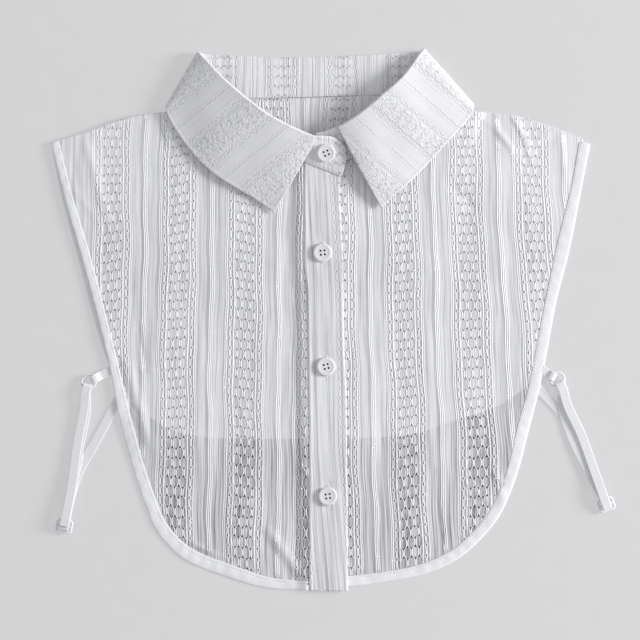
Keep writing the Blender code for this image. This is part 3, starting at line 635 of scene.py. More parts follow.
# The straight cords between the lace: how far from a band's middle, and how wide.
PLAIN_CORDS = ((14.0, 0.6), (22.7, 1.1), (24.0, 1.1), (25.2, 0.9), (-13.9, 0.6))


def lace_threads():
    """Every thread of one lace band: its distance aside at a row coordinate, its width, its height, and
    whether it follows the rows."""
    threads = []
    for number in range(6):
        threads.append((lacing((number - 2.5) * CELL / 2, (-1) ** number), 0.9, 0.08, True))
    for side in (-1, 1):
        threads += [(chained(side, turn), 0.72, 0.14, True) for turn in (-1, 1)]
        threads.append((steady(side * CORD_AT), 0.95, 0.17, False))
        threads.append((steady(side * OUTER_AT), 0.75, 0.15, False))
    return threads + [(steady(aside), wide, 0.08, False) for aside, wide in PLAIN_CORDS]


def run_threads(bands, indices, rows, height, inside):
    """The threads of some bands laid on a height field, each cut to the stretch that lies inside the
    piece. A thread strays a little from its line by two waves of its own, and is narrower and higher
    where rows meet."""
    parts = []
    for band in indices:
        for number, (aside, wide, high, fine) in enumerate(lace_threads()):
            row = np.arange(*rows, 1 / (9 if fine else 2))
            stray = 0.1 * np.sin(row * 2.1 + number) + 0.07 * np.sin(row * 5.3 + 2 * number + band)
            x, y = bands.place(band, aside(row) + stray, row)
            held = inside(x, y)
            if held.sum() < 4:
                continue
            first, last = np.flatnonzero(held)[[0, -1]]
            x, y, row = x[first : last + 1], y[first : last + 1], row[first : last + 1]
            raised = near_row(row) if fine else 0 * row
            path = np.stack([x, y, height(x, y) + 0.04 * raised], axis=1)
            full = 1 - FAINT_THREADS * faintness(x, y)
            parts.append(tube(path, wide - 0.4 * raised, (high + 0.08 * raised) * full))
    return parts


# ---------------------------------------------------------------- shader expressions


class Value:
    """A shader socket that Python's operators work on; each operation adds its Math node."""

    def __init__(self, finish, socket):
        self.finish, self.socket = finish, socket

    def math(self, operation, *others, clamp=False):
        settings = {"operation": operation, "use_clamp": clamp}
        return self.finish.node("Math", settings, dict(enumerate((self, *others))))

    def __add__(self, other):
        return self.math("ADD", other)

    def __sub__(self, other):
        return self.math("SUBTRACT", other)

    def __rsub__(self, other):
        return (self * -1) + other

    def __mul__(self, other):
        return self.math("MULTIPLY", other)

    def __truediv__(self, other):
        return self.math("DIVIDE", other)

    __radd__, __rmul__ = __add__, __mul__

    def fraction(self):
        return self.math("FRACT")

    def size(self):
        return self.math("ABSOLUTE")

    def clamped(self):
        return self.math("ADD", 0.0, clamp=True)

    def above(self, level, soft):
        """0 below a level and 1 above it, softened over a width."""
        return ((self - level) / soft).clamped()

    def below(self, level, soft):
        return ((level - self) / soft).clamped()


class Finish:
    """A material and its node tree."""

    def __init__(self, name, **constants):
        self.material = bpy.data.materials.new(name)
        self.material.use_nodes = True
        self.tree = self.material.node_tree
        self.shader = self.tree.nodes["Principled BSDF"]
        for socket, value in constants.items():
            self.shader.inputs[socket.replace("_", " ")].default_value = value

    def node(self, kind, settings=None, sockets=None, output=0):
        """Any node, from its type, its settings and the values or links of its sockets."""
        made = self.tree.nodes.new("ShaderNode" + kind)
        for name, value in (settings or {}).items():
            if name == "stops":
                ramp = made.color_ramp
                while len(ramp.elements) < len(value):
                    ramp.elements.new(1.0)
                for element, (place, colour) in zip(ramp.elements, value):
                    element.position = place
                    element.color = (*colour, 1.0)
            else:
                setattr(made, name, value)
        for key, value in (sockets or {}).items():
            self.feed(made.inputs[key], value)
        return Value(self, made.outputs[output])

    def feed(self, socket, value):
        if isinstance(value, Value):
            self.tree.links.new(value.socket, socket)
        else:
            socket.default_value = value

    def set(self, **links):
        for socket, value in links.items():
            self.feed(self.shader.inputs[socket.replace("_", " ")], value)

    def split(self, vector):
        return [self.node("SeparateXYZ", {}, {0: vector}, i) for i in range(3)]

    def place(self):
        """Object coordinates."""
        return self.node("TexCoord", {}, {}, 3)

    def map(self):
        """The two coordinates of the piece's own map."""
        return self.split(self.node("UVMap", {"uv_map": "stripes"}))[:2]

    def single(self):
        """1 where there is no back beneath the cloth."""
        return self.node("Attribute", {"attribute_name": "beyond"}, {}, 2).above(0.0, 1.2)

    def vector(self, x, y, z=0.0):
        return self.node("CombineXYZ", {}, {0: x, 1: y, 2: z})

    def noise(self, vector, scale, detail=2.0):
        return self.node("TexNoise", {}, {"Vector": vector, "Scale": scale, "Detail": detail})

    def blend(self, share, *colours):
        """From one colour or link to another."""
        first, second = ((*colour, 1) if isinstance(colour, tuple) else colour for colour in colours)
        return self.node("Mix", {"data_type": "RGBA"}, {0: share, 6: first, 7: second}, 2)

    def bump(self, height, distance, strength):
        normal = self.node("Bump", {}, {"Height": height, "Distance": distance, "Strength": strength})
        self.set(Normal=normal)


# Across one repeat of the stripes, from a lace band's middle to the next.
STRIPE_CHART = table(
    "at tone relief",
    (0, 0.86, 0.3), (7.3, 0.86, 0.3), (7.7, 1, 0.8), (8.6, 0.9, 0.4), (12.2, 0.9, 0.4), (12.6, 1, 0.8),
    (14, 0.97, 0.6), (14.4, 0.86, 0.4), (17, 0.9, 0.44), (20, 0.86, 0.38), (20.5, 0.72, 0.1),
    (21.5, 0.72, 0.1), (22.2, 0.96, 0.6), (25.4, 0.96, 0.6), (26, 0.88, 0.44), (29, 0.9, 0.44),
    (32.7, 0.86, 0.38), (33.1, 0.74, 0.12), (33.5, 0.74, 0.12), (33.9, 0.97, 0.6), (35.5, 1, 0.8),
    (35.9, 0.9, 0.4), (39.5, 0.9, 0.4), (40.3, 1, 0.8), (40.8, 0.86, 0.3), (48, 0.86, 0.3),
)
# The same of the doubled cloth, whose stripes are pressed flat.
DOUBLED_CHART = table(
    "at tone relief",
    (0, 0.97, 0.4), (13.2, 0.97, 0.4), (13.6, 0.93, 0.2), (14.1, 1, 0.8), (14.6, 0.94, 0.25),
    (15.2, 0.98, 0.4), (22.2, 0.98, 0.4), (22.8, 1, 0.95), (23.4, 0.92, 0.15), (24.2, 0.92, 0.15),
    (24.8, 1, 0.95), (25.4, 0.98, 0.4), (32.8, 0.98, 0.4), (33.4, 0.94, 0.25), (33.9, 1, 0.8),
    (34.4, 0.93, 0.2), (34.8, 0.97, 0.4), (48, 0.97, 0.4),
)
MESH_HALF = 7.8  # how far a band's lace cells reach to each side of its middle


def lace_marks(across, along):
    """The lace at its stripe and row coordinates, as masks: the mesh and a chain, the inside and the
    outline of a cell, the tip where its threads close it, a chain's dots and slits, and how far away the
    threads are."""
    aside = ((across + 0.5).fraction() - 0.5) * PITCH
    away = aside.size()
    in_mesh = away.below(MESH_HALF, 0.4)
    swung = ((along * math.pi).math("SINE") * SQUARE).math("TANH") * (SWING / math.tanh(SQUARE))
    even = (((aside + (CELL / 4) - swung) / CELL + 0.5).fraction() - 0.5).size() * CELL
    odd = (((aside - (CELL / 4) + swung) / CELL + 0.5).fraction() - 0.5).size() * CELL
    thread = even.math("MINIMUM", odd)
    from_row = (along + 0.5).fraction() - 0.5
    to_row = from_row.size()
    cell = thread.above(0.36, 0.15) * in_mesh
    outline = thread.above(0.34, 0.12) * thread.below(0.85, 0.4) * in_mesh
    narrow = (even + odd).below(3.1, 0.5) * to_row.below(0.25, 0.07)
    tip = thread.above(0.22, 0.12) * narrow * in_mesh * (from_row.above(0.0, 0.02) * 0.3 + 0.7)

    chain = (away - CHAIN_AT).size()
    pair = (chain - (to_row.below(0.2, 0.16) * 0.6 + 0.4)).size()
    in_chain = chain.below(1.6, 0.3)
    dot = chain.below(0.6, 0.3) * to_row.below(0.13, 0.06)
    slit = pair.above(0.34, 0.2) * in_chain * chain.above(0.6, 0.3) * to_row.above(0.1, 0.1)
    return in_mesh, in_chain, cell, outline, tip, dot, slit, thread, pair


def striped_cloth(
    name, chart, tint, gap_shade, warp=0.0, ribs=1.0, raised=1.0, knots=0.0, relief_share=0.4, open_share=0.0
):
    """The openwork cloth: plain stripes, cords, chains and bands of lace cells, by the stripe
    coordinates.

    gap_shade is the strength of the painted shade in the lace's openings, warp how many millimetres the
    pattern is pulled about, ribs the strength of the fine lines along the stripes, raised the height of the
    lace, knots how much of it has shrunk into small irregular knots, which are given painted shade in their
    dips, relief_share the strength of the bump, and open_share how open its tips, dots and slits are. The
    cloth is painted darker where it is single, with no back beneath it, as shade of the table seen through
    it, and its lace is softer and its cloth a little lighter towards the shoulders."""
    finish = Finish(name, Roughness=0.85, Sheen_Weight=0.1)
    across, along = finish.map()

    def streaks(wide, long, seed=0.0, detail=2.0):
        """Noise stretched along the stripes."""
        return finish.noise(finish.vector(across * wide, along * long, seed), 1.0, detail)

    if warp:
        pull, shift = streaks(16.0, 2.6, 0.0, 1.0), streaks(21.0, 3.1, 7.0, 1.0)
        across = across + (pull - 0.5) * (4 * warp / PITCH)
        along = along + (shift - 0.5) * (4 * warp / ROW)
    stops = [(at / PITCH, (tone, relief, 0.0)) for at, tone, relief in zip(*chart.values())]
    ramp = finish.node("ValToRGB", {"stops": stops}, {0: across.fraction()})
    tone, relief = (finish.node("SeparateColor", {}, {0: ramp}, i) for i in range(2))
    in_mesh, in_chain, cell, outline, tip, dot, slit, thread, pair = lace_marks(across, along)

    fine, rib, blot = streaks(62.0, 0.12) - 0.5, streaks(24.0, 0.06, 3.0) - 0.5, streaks(3.0, 0.4, 5.0) - 0.5
    weft, patch = streaks(30.0, 9.0) - 0.5, streaks(9.0, 0.9, 9.0).above(0.3, 0.4)
    single = finish.single()
    x, y, _ = finish.split(finish.place())
    faint = x.size().above(FAINT_X * MM, FAINT_RUN_X * MM) * y.above(FAINT_Y * MM, FAINT_RUN_Y * MM)

    streak = (fine * 1.2 + rib * 0.8) * ribs * (single * 0.9 + 1)
    # Painted shade: where no back lies beneath, the cloth is darkened as the shadowed table beneath it would
    # show through, and its streaks are stronger.
    shade = tone * (1 + streak * (1 - faint * 0.5) + blot * 0.14) * (1 - single * 0.165) * (faint * 0.1 + 1)
    # Painted shade in the lace's openings: in the cells and along their outlines, mostly where no back lies
    # beneath, and at the cells' tips and a chain's dots and slits, more where no back lies beneath.
    open_dark = (cell * (single * 0.32 + 0.02) + outline * (single * 0.08)) * patch
    dark = tip * (single * 0.44 + 0.52) + dot * (single * 0.25 + 0.45) + slit * (single * 0.2 + 0.2)
    shade = shade * (1 - (open_dark + dark).clamped() * (1 - faint * 0.62) * gap_shade)
    if knots:
        knot = streaks(32.0, 3.2, 11.0, 1.0)
        # Painted shade in the dips between the knots, where their relief is low.
        shade = shade * (1 - knot.below(0.44, 0.1) * in_mesh * (0.22 * knots))
        relief = relief + knot * in_mesh * (2.4 * knots)
    finish.set(Base_Color=finish.blend(shade.clamped(), (0.01, 0.01, 0.012), tint))
    if open_share:
        finish.set(Alpha=1 - (tip + dot + slit * 0.5).clamped() * open_share)

    height = relief + (fine * 0.8 + rib * 0.7) * ribs + weft * 0.3
    lace_height = thread.below(0.8, 0.8) * patch * in_mesh * 0.4 - (tip + dot + slit).clamped() * 0.9
    height = height + lace_height * raised
    finish.bump(height + pair.below(0.6, 0.6) * in_chain * 0.5 * raised, 0.0003, relief_share)
    return finish.material


def thread_finish(name, dull, bright):
    """Soft cotton thread with a fine twist, painted darker where no back lies beneath it, as shade seen
    through the lace.
    """
    finish = Finish(name, Roughness=0.8, Sheen_Weight=0.1)
    place = finish.place()
    # Painted shade: darker where no back lies beneath.
    shade = (0.35 + finish.noise(place, 700.0) * 0.5 - finish.single() * 0.35).clamped()
    finish.set(Base_Color=finish.blend(shade, dull, bright))
    finish.bump(finish.noise(place, 2600.0), 0.0001, 0.6)
    return finish.material


def binding_cloth(name, tint):
    """Close-woven cotton: a weave bump and a faint mottle on object coordinates. On its own map of share
    across and millimetres along, it has painted shade in small pits between the stitches and along its inner
    edge."""
    finish = Finish(name, Roughness=0.85, Sheen_Weight=0.1)
    weave, mottle = (finish.noise(finish.place(), scale) for scale in (1400.0, 160.0))
    across, along = finish.map()
    on_seam = (across - STITCH_AT).size().below(0.05, 0.04)
    stitch_pit_shade = on_seam * ((along / STITCH_STEP).fraction() - 0.5).size().below(0.22, 0.1)
    shade = (0.84 + mottle * 0.2 + weave * 0.08).clamped()
    # Painted shade in the pits between the stitches and along the inner edge, where it meets the cloth.
    shade = shade * (1 - stitch_pit_shade * 0.3 - across.above(0.93, 0.05) * 0.25)
    finish.set(Base_Color=finish.blend(shade, (0.1, 0.1, 0.12), tint))
    finish.bump(weave + mottle, 0.0002, 0.6)
    return finish.material


def ribbed_tape(name, tint):
    """Woven tape: fine ribs across it and a brighter selvedge, by its map of share across and millimetres
    along."""
    finish = Finish(name, Roughness=0.7, Sheen_Weight=0.1)
    across, along = finish.map()
    rib = (along * (2 * math.pi / TAPE_RIB)).math("SINE")
    edge = (across - 0.5).size().above(0.38, 0.06)
    worn = finish.noise(finish.vector(across * 4.0, along * 0.3), 1.0)
    shade = (0.82 + rib * 0.012 * (1 - edge) + edge * 0.06 + worn * 0.14).clamped()
    finish.set(Base_Color=finish.blend(shade, (0.1, 0.1, 0.12), tint))
    finish.bump(rib * (1 - edge) * 0.5 + worn, 0.00008, 0.6)
    return finish.material


def polished(name, tint, roughness, holes_shaded=False):
    """Smooth moulded white with a faint cloudiness; where a piece's own map gives a hole's well, painted
    shade darkens it.
    """
    finish = Finish(name, Roughness=roughness)
    place = finish.place()
    cloud = finish.noise(place, 350.0)
    shade = finish.blend(cloud, tuple(part * 0.94 for part in tint), tint)
    if holes_shaded:
        # Painted shade in the holes' wells.
        shade = finish.blend(finish.map()[0].above(0.5, 0.2), shade, (0.16, 0.16, 0.165))
    finish.set(Base_Color=shade, Roughness=cloud * 0.2 + (roughness - 0.1))
    finish.bump(finish.noise(place, 1500.0), 0.00003, 0.5)
    return finish.material


STITCH_AT = 0.79  # where across a binding its row of stitches runs
STITCH_STEP, STITCH_LONG = 2.3, 1.5
TAPE_RIB = 1.5  # from one rib of a tape to the next
WHITE = (0.85, 0.85, 0.88)
CLOTH_SINGLE = striped_cloth("striped openwork cloth", STRIPE_CHART, WHITE, gap_shade=1.0, open_share=0.3)
CLOTH_PLACKET = striped_cloth("placket cloth", STRIPE_CHART, WHITE, gap_shade=0.7, warp=0.15)
CLOTH_STAND = striped_cloth(
    "stand cloth", DOUBLED_CHART, (0.88, 0.88, 0.905),
    gap_shade=0.75, warp=0.3, ribs=1.3, raised=1.8, knots=0.35, relief_share=0.6,
)
CLOTH_LEAF = striped_cloth(
    "leaf cloth", DOUBLED_CHART, (0.83, 0.83, 0.845),
    gap_shade=0.13, warp=0.9, ribs=0.12, raised=1.2, knots=1.0, relief_share=0.7,
)
THREAD = thread_finish("cotton thread", (0.77, 0.77, 0.80), (0.93, 0.93, 0.95))
STITCH = thread_finish("sewing thread", (0.62, 0.62, 0.65), (0.9, 0.9, 0.92))
# A near-black thread colour: painted shadow inside the buttonholes' slits.
SLIT_SHADE = thread_finish("buttonhole slit shadow", (0.04, 0.04, 0.045), (0.09, 0.09, 0.1))
BINDING = binding_cloth("binding cotton", (0.9, 0.9, 0.92))
TAPE_WHITE = ribbed_tape("strap tape", (0.92, 0.92, 0.94))
BUTTON_WHITE = polished("button white", (0.83, 0.83, 0.85), 0.5, holes_shaded=True)
FITTING_WHITE = polished("fitting white", (0.86, 0.86, 0.88), 0.4)


def placed(piece, material, slot, *nodes):
    """Gives a piece its material and its body, and hides the CAD nodes it stands for; its slot is not used.
    """
    piece.data.materials.append(material)
    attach(piece, "root")
    if nodes:
        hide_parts(*nodes)
    return piece


def mark_beyond(piece):
    """Gives every point of a piece its distance outside the back's outline, in millimetres, as "beyond"."""
    place = np.empty(len(piece.data.vertices) * 3)
    piece.data.vertices.foreach_get("co", place)
    place = place.reshape(-1, 3) / MM
    beyond = np.empty(len(place))
    for some in np.array_split(np.arange(len(place)), len(place) // 20000 + 1):
        beyond[some] = distance_outside(BACK_OUTLINE, place[some, 0], place[some, 1])
    attribute = piece.data.attributes.new("beyond", "FLOAT", "POINT")
    attribute.data.foreach_set("value", np.clip(beyond, -20, 20).astype(np.float32))


# ---------------------------------------------------------------- panels

TUCK = 2.5  # how far a panel runs in under its binding
NECK_MIDDLE = -5.0  # where across the garment the neck has its middle
THREAD_INSET = 0.3  # how far inside a panel's edges its lace threads end
TABLE_CLEAR = 0.05  # the least height over the table
left_bands, right_bands, back_bands = (Bands(bands) for bands in (LEFT_BANDS, RIGHT_BANDS, BACK_BANDS))


def panel_plan(edge, count, upper, rows, last=None):
    """A panel's plan: columns of points from under its binding up to the shoulders and the neck."""
    line = edge_line(edge, count)
    low = beside(line, line[:, 2] - TUCK)
    first, last = low[0, 0], last or low[-1, 0]
    x = first + (low[:, 0] - low[0, 0]) * (last - first) / (low[-1, 0] - low[0, 0])
    high = np.stack([x, np.interp(x, upper[:, 0], upper[:, 1])], axis=1)
    high[:, 1] = np.maximum(high[:, 1], low[:, 1] + SEAM)
    return between(low, high, rows)


def laid_shell(name, plan, height, bands):
    """A panel's cloth: its plan laid on a height, with the stripes of its bands."""
    grid = laid_on(plan, height)
    piece = shell(f"{name}_cloth", grid, bands.uv(plan[..., 0], plan[..., 1]))
    mark_beyond(piece)
    return placed(piece, CLOTH_SINGLE, "cloth", name), grid


def over(under, lift, creases=None):
    """A piece's height: over what is beneath it, with the cloth's slow unevenness and its own creases."""

    def height(x, y):
        z = under(x, y) + waves(x, y) + lift
        return np.maximum(z + ridges(x, y, creases), TABLE_CLEAR + SHELL / 2) if creases else z

    return height


def top_of(height):
    """The upper face of a shell whose middle has that height."""
    return lambda x, y: height(x, y) + SHELL / 2


def inside_panel(edge, upper, left_limit=-1e3, reach=1e3):
    """A test of whether points lie between a panel's binding and its upper edge."""
    line = edge_line(edge, 200)
    low = beside(line, line[:, 2] - THREAD_INSET)
    low = low[np.argsort(low[:, 0])]

    def test(x, y):
        return (
            (y > np.interp(x, low[:, 0], low[:, 1]))
            & (y < np.interp(x, upper[:, 0], upper[:, 1]) - THREAD_INSET)
            & (x > max(left_limit, low[0, 0]))
            & (x < low[-1, 0])
            & (np.abs(x - NECK_MIDDLE) < reach)
        )

    return test


left_shoulder, right_shoulder, left_neck, right_neck, back_neck = (
    smooth(columns(line), 3)
    for line in (LEFT_SHOULDER, RIGHT_SHOULDER, LEFT_NECK, RIGHT_NECK, BACK_NECK)
)
left_upper = np.concatenate([left_shoulder[:-1], left_neck])
right_upper = np.concatenate([right_neck[:-1], right_shoulder])
back_upper = np.concatenate([left_shoulder[:-1], back_neck[:-1], right_shoulder])

MIDDLE = CLOTH / 2
left_height, right_height = (over(under, MIDDLE, CREASES) for under in (left_under, front_under))
back_height = over(back_under, MIDDLE)

left_plan = panel_plan(LEFT_EDGE, 180, left_upper, 200, -9.5)
seam_x = np.interp(-left_plan[-1, :, 1], -PLACKET_LEFT["y"], PLACKET_LEFT["x"]) + 1.5
left_plan[..., 0] += np.linspace(0, 1, len(left_plan))[:, None] ** 12 * (seam_x - left_plan[-1, :, 0])
front_left, left_grid = laid_shell("front_left", left_plan, left_height, left_bands)
right_plan = panel_plan(RIGHT_EDGE, 180, right_upper, 200)
front_right, right_grid = laid_shell("front_right", right_plan, right_height, right_bands)
back_plan = panel_plan(BACK_EDGE, 150, back_upper, 90)
back_panel, back_grid = laid_shell("back_panel", back_plan, back_height, back_bands)

# Each panel's lace: its bands, which of them have threads, from which row to which, and where these may
# lie. The right front's begin beneath the placket, and the back's show only within the neck.
FRONT_ROWS, BACK_ROWS = (-27.5, 24.0), (17.0, 24.0)
lace = {}
for side, bands, indices, rows, height, inside in (
    ("left", left_bands, range(4), FRONT_ROWS, left_height, inside_panel(LEFT_EDGE, left_upper)),
    ("right", right_bands, range(4), FRONT_ROWS, right_height, inside_panel(RIGHT_EDGE, right_upper, 8)),
    ("back", back_bands, range(1, 5), BACK_ROWS, back_height, inside_panel(BACK_EDGE, back_upper, reach=75)),
):
    lace[side] = joined(f"{side}_lace_threads", run_threads(bands, indices, rows, top_of(height), inside))
    mark_beyond(lace[side])
    placed(lace[side], THREAD, "cloth")

# ---------------------------------------------------------------- bindings

# Round a folded binding: how far in from its outer edge, as a share of its width, and how high.
BINDING_SECTION = table(
    "share high",
    (0.0, 0.5), (0.015, 0.85), (0.05, 1.08), (0.12, 1.2), (0.3, 1.25), (0.5, 1.26), (0.68, 1.22),
    (0.79, 1.12), (0.88, 1.14), (0.95, 1.04), (1.0, 0.8), (0.98, 0.3), (0.5, 0.2), (0.02, 0.25),
)
STITCH_HIGH = 1.08  # the height of a binding's stitches over what is beneath it
PUCKER = 0.12  # how much the binding puckers


def across_strip(section, first, second):
    """A strip's section from one line to another in plan: its shares across, its heights and its plan."""
    share, high = section["share"][::-1], section["high"][::-1]
    across = share[None, :, None]
    return share, high, first[:, None] * (1 - across) + second[:, None] * across


def bind(name, edge, under, count):
    """A folded strip: the section's points lie between the outer and inner lines, at its heights over what is
    below. A row of stitches runs along its inner edge."""
    line = edge_line(edge, count)
    outer, inner = line[:, :2], beside(line, line[:, 2])
    share, high, plan = across_strip(BINDING_SECTION, outer, inner)
    at = lengths(outer)[:, None]
    bent = np.sin(at / 1.9 + 3 * np.sin(at / 17.0)) * np.sin(math.pi * share)
    grid = laid_on(plan, doubled_on(under))
    grid[..., 2] += high + PUCKER * bent * (high > 0.8)
    uv = np.stack(np.broadcast_arrays(share[None], at), axis=-1)
    piece = placed(strip(f"{name}_strip", grid, uv), BINDING, "cloth", name)
    groove = laid_on(outer * (1 - STITCH_AT) + inner * STITCH_AT, doubled_on(under))
    return piece, stitches(groove + (0, 0, STITCH_HIGH), STITCH_STEP, STITCH_LONG, 0.4, 0.25)


binding_left, left_stitches = bind("binding_left", LEFT_EDGE, left_under, 280)
binding_right, right_stitches = bind("binding_right", RIGHT_EDGE, front_under, 280)
binding_back, back_stitches = bind("binding_back", BACK_EDGE, back_under, 240)

# ---------------------------------------------------------------- placket

placket_left, placket_right = (
    spaced(smooth(columns(side), 4), 230) for side in (PLACKET_LEFT, PLACKET_RIGHT)
)
for side_line in (placket_left, placket_right):
    side_line[0, 1] += PLACKET_TUCK
# Round the placket: how far across it, as a share of its width, and how high.
PLACKET_SECTION = table(
    "share high",
    (0.0, 0.5), (0.005, 1.0), (0.03, 1.4), (0.07, 1.37), (0.1, 1.1), (0.14, 1.12), (0.22, 1.15),
    (0.3, 1.12), (0.4, 1.15), (0.5, 1.12), (0.6, 1.15), (0.7, 1.12), (0.8, 1.12), (0.86, 1.1),
    (0.9, 1.1), (0.94, 1.3), (0.975, 1.3), (0.995, 1.0), (1.0, 0.5), (0.98, 0.2), (0.5, 0.2), (0.02, 0.2),
)
# Where the placket's middle cords run.
PLACKET_CORD = table("y x", (-196, 8.6), (-133, 3.6), (-91, 0.7), (21, -1.4), (84, -4.9), (112, -6.5))
BUTTONHOLE_HALF, BUTTONHOLE_WIDE = 7.4, 0.8
DRAWN_IN, DRAWN_AT, DRAWN_WIDE, DRAWN_LONG = 0.45, 8.0, 2.2, 3.5  # the dips at a buttonhole's ends
RIM_HIGH, SLIT_SHADE_HIGH = 1.2, 1.1  # heights over the placket's underside
buttonhole_places = columns(BUTTONS)[1:]


def placket_stripe(x, y):
    """The placket's stripe coordinates: its middle cords lean as they run down."""
    cord = np.interp(y, PLACKET_CORD["y"], PLACKET_CORD["x"])
    return np.stack([0.5 + (x - cord) / PITCH, y / ROW], axis=-1)


def placket_height(x, y):
    """The placket's height over the table: it is drawn in a little at the ends of each buttonhole."""
    z = doubled_on(placket_under)(x, y)
    for button_x, button_y in buttonhole_places:
        for end in (-1, 1):
            along = (y - button_y - DRAWN_AT * end) / DRAWN_LONG
            z = z - DRAWN_IN * np.exp(-(((x - button_x) / DRAWN_WIDE) ** 2 + along**2))
    return z


def build_placket():
    """The placket: its section carried down between its two edges."""
    _, high, plan = across_strip(PLACKET_SECTION, placket_left, placket_right)
    grid = laid_on(plan, placket_height)
    grid[..., 2] += high
    stripes = placket_stripe(plan[..., 0], plan[..., 1])
    return placed(strip("placket_cloth", grid, stripes), CLOTH_PLACKET, "cloth", "placket"), grid


def buttonhole(x, y):
    """The stitched rim of a buttonhole down the placket, and a near-black tube between its sides as painted
    shadow in its slit: closed ovals.
    """
    around = circle(40)
    rim = (x, y) + BUTTONHOLE_WIDE * around
    rim[:, 1] += (BUTTONHOLE_HALF - BUTTONHOLE_WIDE) * np.sign(around[:, 1])
    gap_y = np.linspace(y - BUTTONHOLE_HALF + 0.2, y + BUTTONHOLE_HALF - 0.2, 24)
    gap = np.stack([0 * gap_y + x, gap_y], axis=1)
    rim = laid_on(rim, placket_height) + (0, 0, RIM_HIGH)
    gap = laid_on(gap, placket_height) + (0, 0, SLIT_SHADE_HIGH)
    return tube(rim, 0.9, 0.5, 6, closed=True), tube(gap, 1.0, 0.35)


placket, placket_grid = build_placket()
rims, slit_shadows = zip(*(buttonhole(x, y) for x, y in buttonhole_places))
buttonholes = placed(joined("buttonhole_rims", rims), STITCH, "cloth")
# The buttonholes' slits are dark tubes: painted shadow.
buttonhole_slit_shadows = placed(joined("buttonhole_slit_shadows", slit_shadows), SLIT_SHADE, "cloth")

# ---------------------------------------------------------------- collar

COLLAR_CORNERS = (8, 14)  # the sections where the collar turns under itself
COLLAR_FINE = 8  # stations to each step of the collar's table
EASE_ROUNDS = 90  # how many rounds even the collar's bends out


def eased(line, loose):
    """The line with its bends evened out: each round moves every point towards its neighbours, as far as it
    is loose, and the ends stay."""
    line = line.copy()
    for _ in range(EASE_ROUNDS):
        line[1:-1] += loose[1:-1, None] * (line[:-2] - 2 * line[1:-1] + line[2:]) / 4
    return line


def collar_lines():
    """The collar's fold, seam and edge lines with their direction out, spaced evenly along the fold."""
    fold = columns(COLLAR, "fold_x", "fold_y", "fold_z")
    seam = columns(COLLAR, "seam_x", "seam_y", "seam_up")
    seam[:, 2] += front_under(seam[:, 0], seam[:, 1]) + CLOTH / 2
    edge = columns(COLLAR, "edge_x", "edge_y", "edge_z")
    steps = COLLAR["steps"][:-1] * COLLAR_FINE
    at = lengths(fold)
    fold_line, seam_line = smooth(fold, steps, at), smooth(seam, steps, at)
    leaf = slice(LEAF_FIRST, LEAF_LAST + 1)
    edge_part = smooth(edge[leaf], steps[LEAF_FIRST:LEAF_LAST], at[leaf])
    first = int(steps[:LEAF_FIRST].sum())
    part = slice(first, first + len(edge_part))
    ends = np.concatenate([[0], np.cumsum(steps)])
    place = np.interp(np.arange(len(fold_line)), ends, np.arange(len(fold)))
    loose = rise(np.abs(place - COLLAR_CORNERS[0]) - 0.6) * rise(np.abs(place - COLLAR_CORNERS[1]) - 0.6)
    fold_line, seam_line = eased(fold_line, loose), eased(seam_line, loose)
    edge_part = eased(edge_part, loose[part])
    out = directions(np.cross(np.gradient(fold_line, axis=0), seam_line - fold_line))
    return fold_line, seam_line, edge_part, out, part


fold_line, seam_line, edge_part, out, leaf = collar_lines()

# The leaf's stripes run straight on each half: a middle cord's place, the direction across, the pitch,
# and how far from a band's middle its lace reaches.
LEAF_STRIPES = {
    "left": ((-51.1, 111.6), (0.63, -0.777), 47.5, 15.0),
    "right": ((46.9, 121.8), (0.65, 0.76), 42.0, 13.0),
}
BEAD = 0.55  # how much thicker the stand's free upper edge is
TAB_ROUND, TAB_STATIONS = 2.2, 14.0  # how far the neck tab's end bulges, and over how many stations
CREST = 0.54  # how far the fold stands out, as a share of its roll's height
STAND_BANDS = (-110.0, -67.2, -27.3, 16.1, 55.3, 95.0)


def leaf_stripe(side, x, y):
    """A leaf half's stripe coordinates, with its lace drawn in to the band's own reach."""
    (x0, y0), (ax, ay), pitch, reach = LEAF_STRIPES[side]
    across = ((x - x0) * ax + (y - y0) * ay) / pitch + 0.5
    along = ((x - x0) * -ay + (y - y0) * ax) / ROW
    band = np.round(across)
    aside = (across - band) * PITCH
    narrow = np.sign(aside) * np.interp(np.abs(aside), (0, reach, PITCH / 2), (0, 14, PITCH / 2))
    return np.stack([band + narrow / PITCH, along], axis=-1)


